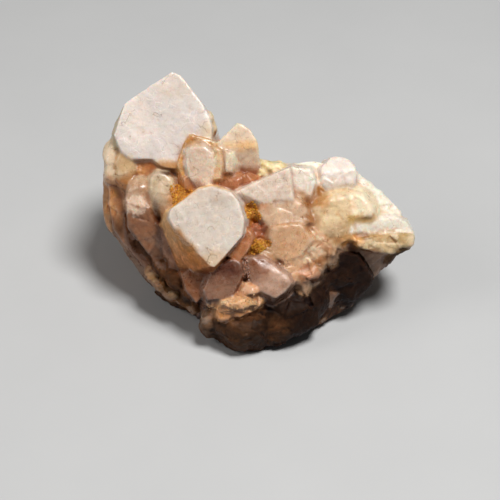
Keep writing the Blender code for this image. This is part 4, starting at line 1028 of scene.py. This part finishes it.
class Nodes:
    """Shorthand for a material's node tree. Sizes are in mm, and where is the place on the object."""

    def __init__(self, name):
        self.material = bpy.data.materials.new(name)
        self.material.use_nodes = True
        self.tree = self.material.node_tree
        self.shader = self.tree.nodes["Principled BSDF"]
        self.where = self.add("ShaderNodeTexCoord").outputs["Object"]

    def add(self, kind, inputs=None, **settings):
        node = self.tree.nodes.new(kind)
        for key, value in settings.items():
            setattr(node, key, value)
        for key, value in (inputs or {}).items():
            self.put(node.inputs[key], value)
        return node

    def put(self, socket, value):
        if isinstance(value, bpy.types.NodeSocket):
            self.tree.links.new(value, socket)
        else:
            socket.default_value = value

    def layer(self, name):
        return self.add("ShaderNodeVertexColor", layer_name=name).outputs

    def math(self, operation, a, b=0.0, c=0.0, clamp=False):
        inputs = {0: a, 1: b, 2: c}
        return self.add("ShaderNodeMath", inputs, operation=operation, use_clamp=clamp).outputs[0]

    def times(self, a, b):
        return self.math("MULTIPLY", a, b)

    def line(self, value, slope, base):
        return self.math("MULTIPLY_ADD", value, slope, base)

    def mix(self, share, a, b, blend="MIX"):
        node = self.add("ShaderNodeMix", data_type="RGBA", blend_type=blend)
        for socket, value in ((0, share), (6, a), (7, b)):
            self.put(node.inputs[socket], value)
        return node.outputs[2]

    def dyed(self, colour, dye):
        return self.mix(1.0, colour, (*dye, 1), "MULTIPLY")

    def vector(self, operation, a, b, socket=1):
        return self.add("ShaderNodeVectorMath", {0: a, socket: b}, operation=operation).outputs[0]

    def scaled(self, colour, share):
        """The colour made lighter or darker."""
        return self.vector("SCALE", colour, share, "Scale")

    def ramp(self, value, low, high, to_low=0.0, to_high=1.0):
        inputs = {"Value": value, "From Min": low, "From Max": high, "To Min": to_low, "To Max": to_high}
        return self.add("ShaderNodeMapRange", inputs, interpolation_type="SMOOTHSTEP").outputs[0]

    def texture(self, kind, where, size, inputs=None, **settings):
        inputs = {"Vector": where, "Scale": 1 / (size * MM), **(inputs or {})}
        return self.add("ShaderNodeTex" + kind, inputs, **settings).outputs

    def noise(self, size, detail, rough=0.55, warp=0.0, where=None):
        inputs = {"Detail": detail, "Roughness": rough, "Distortion": warp}
        return self.texture("Noise", where or self.where, size, inputs)["Fac"]

    def warped(self, size, reach):
        """The place moved about by up to reach."""
        about = self.texture("Noise", self.where, size, {"Detail": 3.0})["Color"]
        centred = self.vector("SUBTRACT", about, (0.5, 0.5, 0.5))
        return self.vector("ADD", self.where, self.scaled(centred, 2 * reach * MM))

    def cells(self, where, size):
        """A value of its own, 0 to 1, for each cell."""
        colour = self.texture("Voronoi", where, size)["Color"]
        return self.add("ShaderNodeSeparateColor", {0: colour}).outputs[0]

    def cracks(self, where, size, width):
        """1 along the thin borders of cells."""
        far = self.texture("Voronoi", where, size, feature="DISTANCE_TO_EDGE")["Distance"]
        return self.ramp(far, width, 0.3 * width)

    def uneven(self, value, reach):
        """A factor round 1 from a value round 0.5."""
        return self.line(self.math("SUBTRACT", value, 0.5), reach, 1.0)

    def finish(self, sockets, height=None, strength=0.5, reach=0.0):
        """The material, with the shader's sockets set and its surface bumped up to reach mm."""
        if height is not None:
            inputs = {"Height": height, "Strength": strength, "Distance": reach * MM}
            sockets["Normal"] = self.add("ShaderNodeBump", inputs).outputs[0]
        for key, value in sockets.items():
            self.put(self.shader.inputs[key], value)
        return self.material


def glow(weight, radius, scale):
    """Light that spreads below the surface, up to scale mm."""
    return {"Subsurface Weight": weight, "Subsurface Radius": radius, "Subsurface Scale": scale * MM}


def veiled(n, tint, clear, bent):
    """Milky veils and brown depths, stronger where the crystal is clear."""
    veils = n.ramp(n.noise(2.2, 8, 0.66, 1.4), 0.50, 0.66)
    depths = n.ramp(n.noise(1.8, 7, 0.68, 1.0, bent), 0.50, 0.64)
    pale = n.add("ShaderNodeGamma", {"Color": tint, "Gamma": 0.72}).outputs[0]
    colour = n.mix(n.times(veils, n.times(clear, 0.9)), tint, pale)
    return n.mix(n.times(depths, n.line(clear, 0.7, 0.05)), colour, n.dyed(colour, (0.72, 0.52, 0.38)))


def mottled(n, colour, clear, rough, bent):
    """Cells and flecks, each its own shade, and a fine mottle."""
    shade = n.uneven(n.cells(bent, 1.7), n.line(clear, 0.30, 0.03))
    fleck = n.uneven(n.cells(n.warped(0.5, 0.3), 0.5), n.times(rough, 0.45))
    mottle = n.uneven(n.noise(0.8, 8, 0.75), n.line(rough, 1.3, 0.10))
    return n.scaled(colour, n.times(n.times(shade, fleck), mottle))


def flawed(n, colour, healed):
    """Bright healed fractures, dark hairlines with iron in them, frost and dark specks."""
    colour = n.mix(n.times(healed, 0.28), colour, n.scaled(colour, 1.5))
    rusty = n.times(n.cracks(n.warped(2.4, 1.6), 5.0, 0.014), n.ramp(n.noise(3.2, 3), 0.52, 0.60))
    colour = n.mix(n.times(rusty, 0.65), colour, n.dyed(colour, (0.36, 0.22, 0.13)))
    frost = n.times(n.ramp(n.noise(0.40, 5, 0.75), 0.57, 0.68), n.ramp(n.noise(2.2, 3), 0.46, 0.58))
    colour = n.mix(n.times(frost, 0.22), colour, n.scaled(colour, 1.5))
    specks = n.ramp(n.texture("Voronoi", n.where, 1.1)["Distance"], 0.09, 0.05)
    dots = n.times(specks, n.ramp(n.noise(2.4, 2), 0.60, 0.66))
    return n.mix(n.times(dots, 0.75), colour, (0.06, 0.035, 0.02, 1))


def quartz_material():
    n = Nodes("milky_quartz")
    marks = n.layer("marks")
    clear = n.add("ShaderNodeSeparateColor", {0: marks["Color"]}).outputs[0]
    rough = marks["Alpha"]
    bent = n.warped(1.6, 0.9)
    healed = n.times(n.cracks(bent, 2.6, 0.030), n.ramp(n.noise(2.5, 3), 0.46, 0.60))
    colour = veiled(n, n.layer("tint")["Color"], clear, bent)
    colour = flawed(n, mottled(n, colour, clear, rough, bent), healed)
    gloss = n.ramp(n.noise(1.0, 6, 0.65), 0.35, 0.65, 0.24, 0.42)
    gloss = n.math("SUBTRACT", gloss, n.times(clear, 0.10))
    gloss = n.math("ADD", gloss, n.times(rough, 0.40), clamp=True)
    grain = n.times(n.noise(0.40, 8, 0.72), n.line(rough, 2.0, 0.14))
    coarse = n.times(n.noise(1.4, 6, 0.62), n.line(rough, 3.0, 0.35))
    plates = n.times(n.cells(n.warped(0.9, 0.5), 0.9), n.line(rough, 0.5, 0.10))
    plates = n.math("SUBTRACT", plates, n.times(healed, 0.3))
    height = n.math("ADD", n.math("ADD", grain, coarse), plates)
    sockets = {"Base Color": colour, "Roughness": gloss, "IOR": QUARTZ_IOR}
    sockets["Transmission Weight"] = n.times(clear, 0.45)
    return n.finish({**sockets, **glow(0.8, (1.0, 0.62, 0.42), 0.7)}, height, 0.6, 0.16)


def shade_and_stain_material():
    """The shaded underside, brown with stain and painted shade, so it hardly shines."""
    n = Nodes("shade_and_stain_quartz")
    tint = n.layer("tint")["Color"]
    patches = n.ramp(n.noise(2.4, 6, 0.62, 1.2), 0.42, 0.66)
    colour = n.mix(n.times(patches, 0.7), tint, n.dyed(tint, (1.8, 1.75, 1.7)))
    grain = n.ramp(n.noise(0.5, 5, 0.65), 0.3, 0.7)
    colour = n.mix(0.5, colour, n.mix(grain, n.dyed(colour, (0.5, 0.45, 0.4)), colour))
    gloss = n.ramp(n.noise(1.1, 4), 0.3, 0.7, 0.42, 0.7)
    sockets = {"Base Color": colour, "Roughness": gloss, "Specular IOR Level": 0.10}
    return n.finish({**sockets, **glow(0.5, (1.0, 0.5, 0.3), 0.5)}, n.noise(0.5, 6, 0.62), 0.5, 0.14)


def grain_material(name, gloss):
    n = Nodes(name)
    tint = n.layer("tint")["Color"]
    mottle = n.ramp(n.noise(0.3, 4, 0.6), 0.3, 0.7)
    colour = n.mix(mottle, n.dyed(tint, (0.62, 0.5, 0.42)), tint)
    gloss = n.ramp(n.noise(0.5, 3), 0.3, 0.7, gloss - 0.12, gloss + 0.12)
    sockets = {"Base Color": colour, "Roughness": gloss, "IOR": QUARTZ_IOR}
    return n.finish({**sockets, **glow(0.5, (1.0, 0.6, 0.4), 0.3)}, n.noise(0.16, 4, 0.6), 0.5, 0.06)


def floor_material():
    n = Nodes("pale_floor")
    return n.finish({"Base Color": n.mix(n.noise(30, 3), *FLOOR_SHADES), "Roughness": 0.7})


def make_cluster():
    """Shows the cluster, and returns its surface in mm."""
    made = shapes()
    names = list(made)
    points, faces, owner = shells(made)
    tree = BVHTree.FromPolygons(points, faces)
    soup = bpy.data.meshes.new("soup")
    soup.from_pydata(points, [], faces)
    mesh = largest_shell(evaluated(soup, "REMESH", mode="VOXEL", voxel_size=VOXEL, adaptivity=0.0))
    set_places(mesh, inside_box(relief(mesh, tree, owner, names)))
    triangles = sum(len(f.vertices) - 2 for f in mesh.polygons)
    if triangles > MOST_TRIANGLES:
        mesh = evaluated(mesh, "DECIMATE", ratio=MOST_TRIANGLES / triangles)
    set_places(mesh, inside_box(places_of(mesh)))
    tint, marks, shade_and_stain = Paint(mesh, tree, owner, names).all_layers()
    surface = tree_of(mesh)
    finished(mesh, "cluster", quartz_material(), tint, marks)
    # The dull material, for the points dark with painted shade and stain
    mesh.materials.append(shade_and_stain_material())
    for face in mesh.polygons:
        face.material_index = int(shade_and_stain[list(face.vertices)].mean() > 0.5)
    return surface


def strewn(pick, middle, reach, turn, seed):
    """A place (across, up) at random in an elliptical patch with a wavy rim."""
    a = math.radians(turn)
    far, around = math.sqrt(pick.random()), pick.uniform(0, 2 * math.pi)
    far *= 1 + 0.25 * math.sin(3 * around + seed)
    x, y = reach[0] * far * math.cos(around), reach[1] * far * math.sin(around)
    return middle[0] + x * math.cos(a) - y * math.sin(a), middle[1] + x * math.sin(a) + y * math.cos(a)


def nugget(pick):
    """A rough round grain."""
    bm = bmesh.new()
    bmesh.ops.create_icosphere(bm, subdivisions=1, radius=0.5)
    grain = [v.co * pick.uniform(0.78, 1.12) for v in bm.verts]
    sides = [[v.index for v in f.verts] for f in bm.faces]
    bm.free()
    return grain, sides


def grains(surface, spots, count, size, highest, seed):
    """Small grains strewn over patches, joined in one mesh with a number for each grain."""
    pick = random.Random(seed)
    points, faces, number = [], [], []
    made = 0
    total = sum(reach[0] * reach[1] for _, reach, _ in spots)
    for middle, reach, turn in spots:
        for _ in range(int(count * reach[0] * reach[1] / total)):
            above = PLACE @ Vector((*strewn(pick, middle, reach, turn, seed), GRAINS_FROM))
            place, normal = surface.ray_cast(above, -(PLACE.to_3x3() @ OUT))[:2]
            if place is None or (BACK @ place).z >= highest:
                continue
            grow = (normal + Vector([pick.gauss(0, 0.45) for _ in range(3)])).normalized()
            turned = grow.to_track_quat("Z", "Y").to_matrix() @ Matrix.Rotation(pick.uniform(0, 6.3), 3, "Z")
            width = size * pick.uniform(0.5, 1.0) ** 1.5
            grain, sides = nugget(pick)
            first = len(points)
            points += [place + turned @ (p * width) for p in grain]
            faces += [[first + k for k in f] for f in sides]
            number += [made] * len(grain)
            made += 1
    mesh = bpy.data.meshes.new("grains")
    mesh.from_pydata(points, [], faces)
    return mesh, np.array(number), made


def make_druse(surface):
    """Grains, each with its own colour between the darkest and the palest."""
    for name, spots, count, size, dark, pale, gloss, seed, highest in GRAINS:
        mesh, number, made = grains(surface, spots, count, size, highest, seed)
        set_places(mesh, inside_box(places_of(mesh)))
        share = np.random.default_rng(seed).uniform(0, 1, (made, 1))
        tint = (linear(dark) * (1 - share) + linear(pale) * share)[number]
        finished(mesh, name, grain_material(name, gloss), tint)


def area_light(name, at, size, watts, colour):
    light = bpy.data.lights.new(name, "AREA")
    light.shape, light.size, light.energy, light.color = "DISK", size, watts, colour
    lamp = bpy.data.objects.new(name, light)
    lamp.location = Vector(at)
    lamp.rotation_euler = (Vector(at) - Vector(AIM)).to_track_quat("Z", "Y").to_euler()
    bpy.context.scene.collection.objects.link(lamp)


def make_floor():
    floor = bpy.data.meshes.new("floor")
    bm = bmesh.new()
    bmesh.ops.create_grid(bm, x_segments=1, y_segments=1, size=FLOOR_HALF)
    bm.to_mesh(floor)
    bm.free()
    floor.materials.append(floor_material())
    ground = bpy.data.objects.new("floor", floor)
    bpy.context.scene.collection.objects.link(ground)


def make_room():
    world = bpy.data.worlds.new("soft_room")
    world.use_nodes = True
    background = world.node_tree.nodes["Background"]
    background.inputs[0].default_value = ROOM_COLOUR
    background.inputs[1].default_value = ROOM_LIGHT
    bpy.context.scene.world = world
    bpy.context.scene.view_settings.view_transform = "Standard"
    for light in LIGHTS:
        area_light(*light)


def make_camera():
    camera = bpy.data.objects.new("camera", bpy.data.cameras.new("camera"))
    camera.data.sensor_width, camera.data.lens = SENSOR, LENS
    camera.data.clip_start, camera.data.clip_end = CLIP
    camera.location = (PLACE @ Vector((0, 0, CAMERA_OUT))) * MM
    camera.rotation_euler = (math.radians(90 - FACE_ELEVATION), 0, 0)
    bpy.context.scene.collection.objects.link(camera)
    bpy.context.scene.camera = camera


make_druse(make_cluster())
make_floor()
make_room()
make_camera()
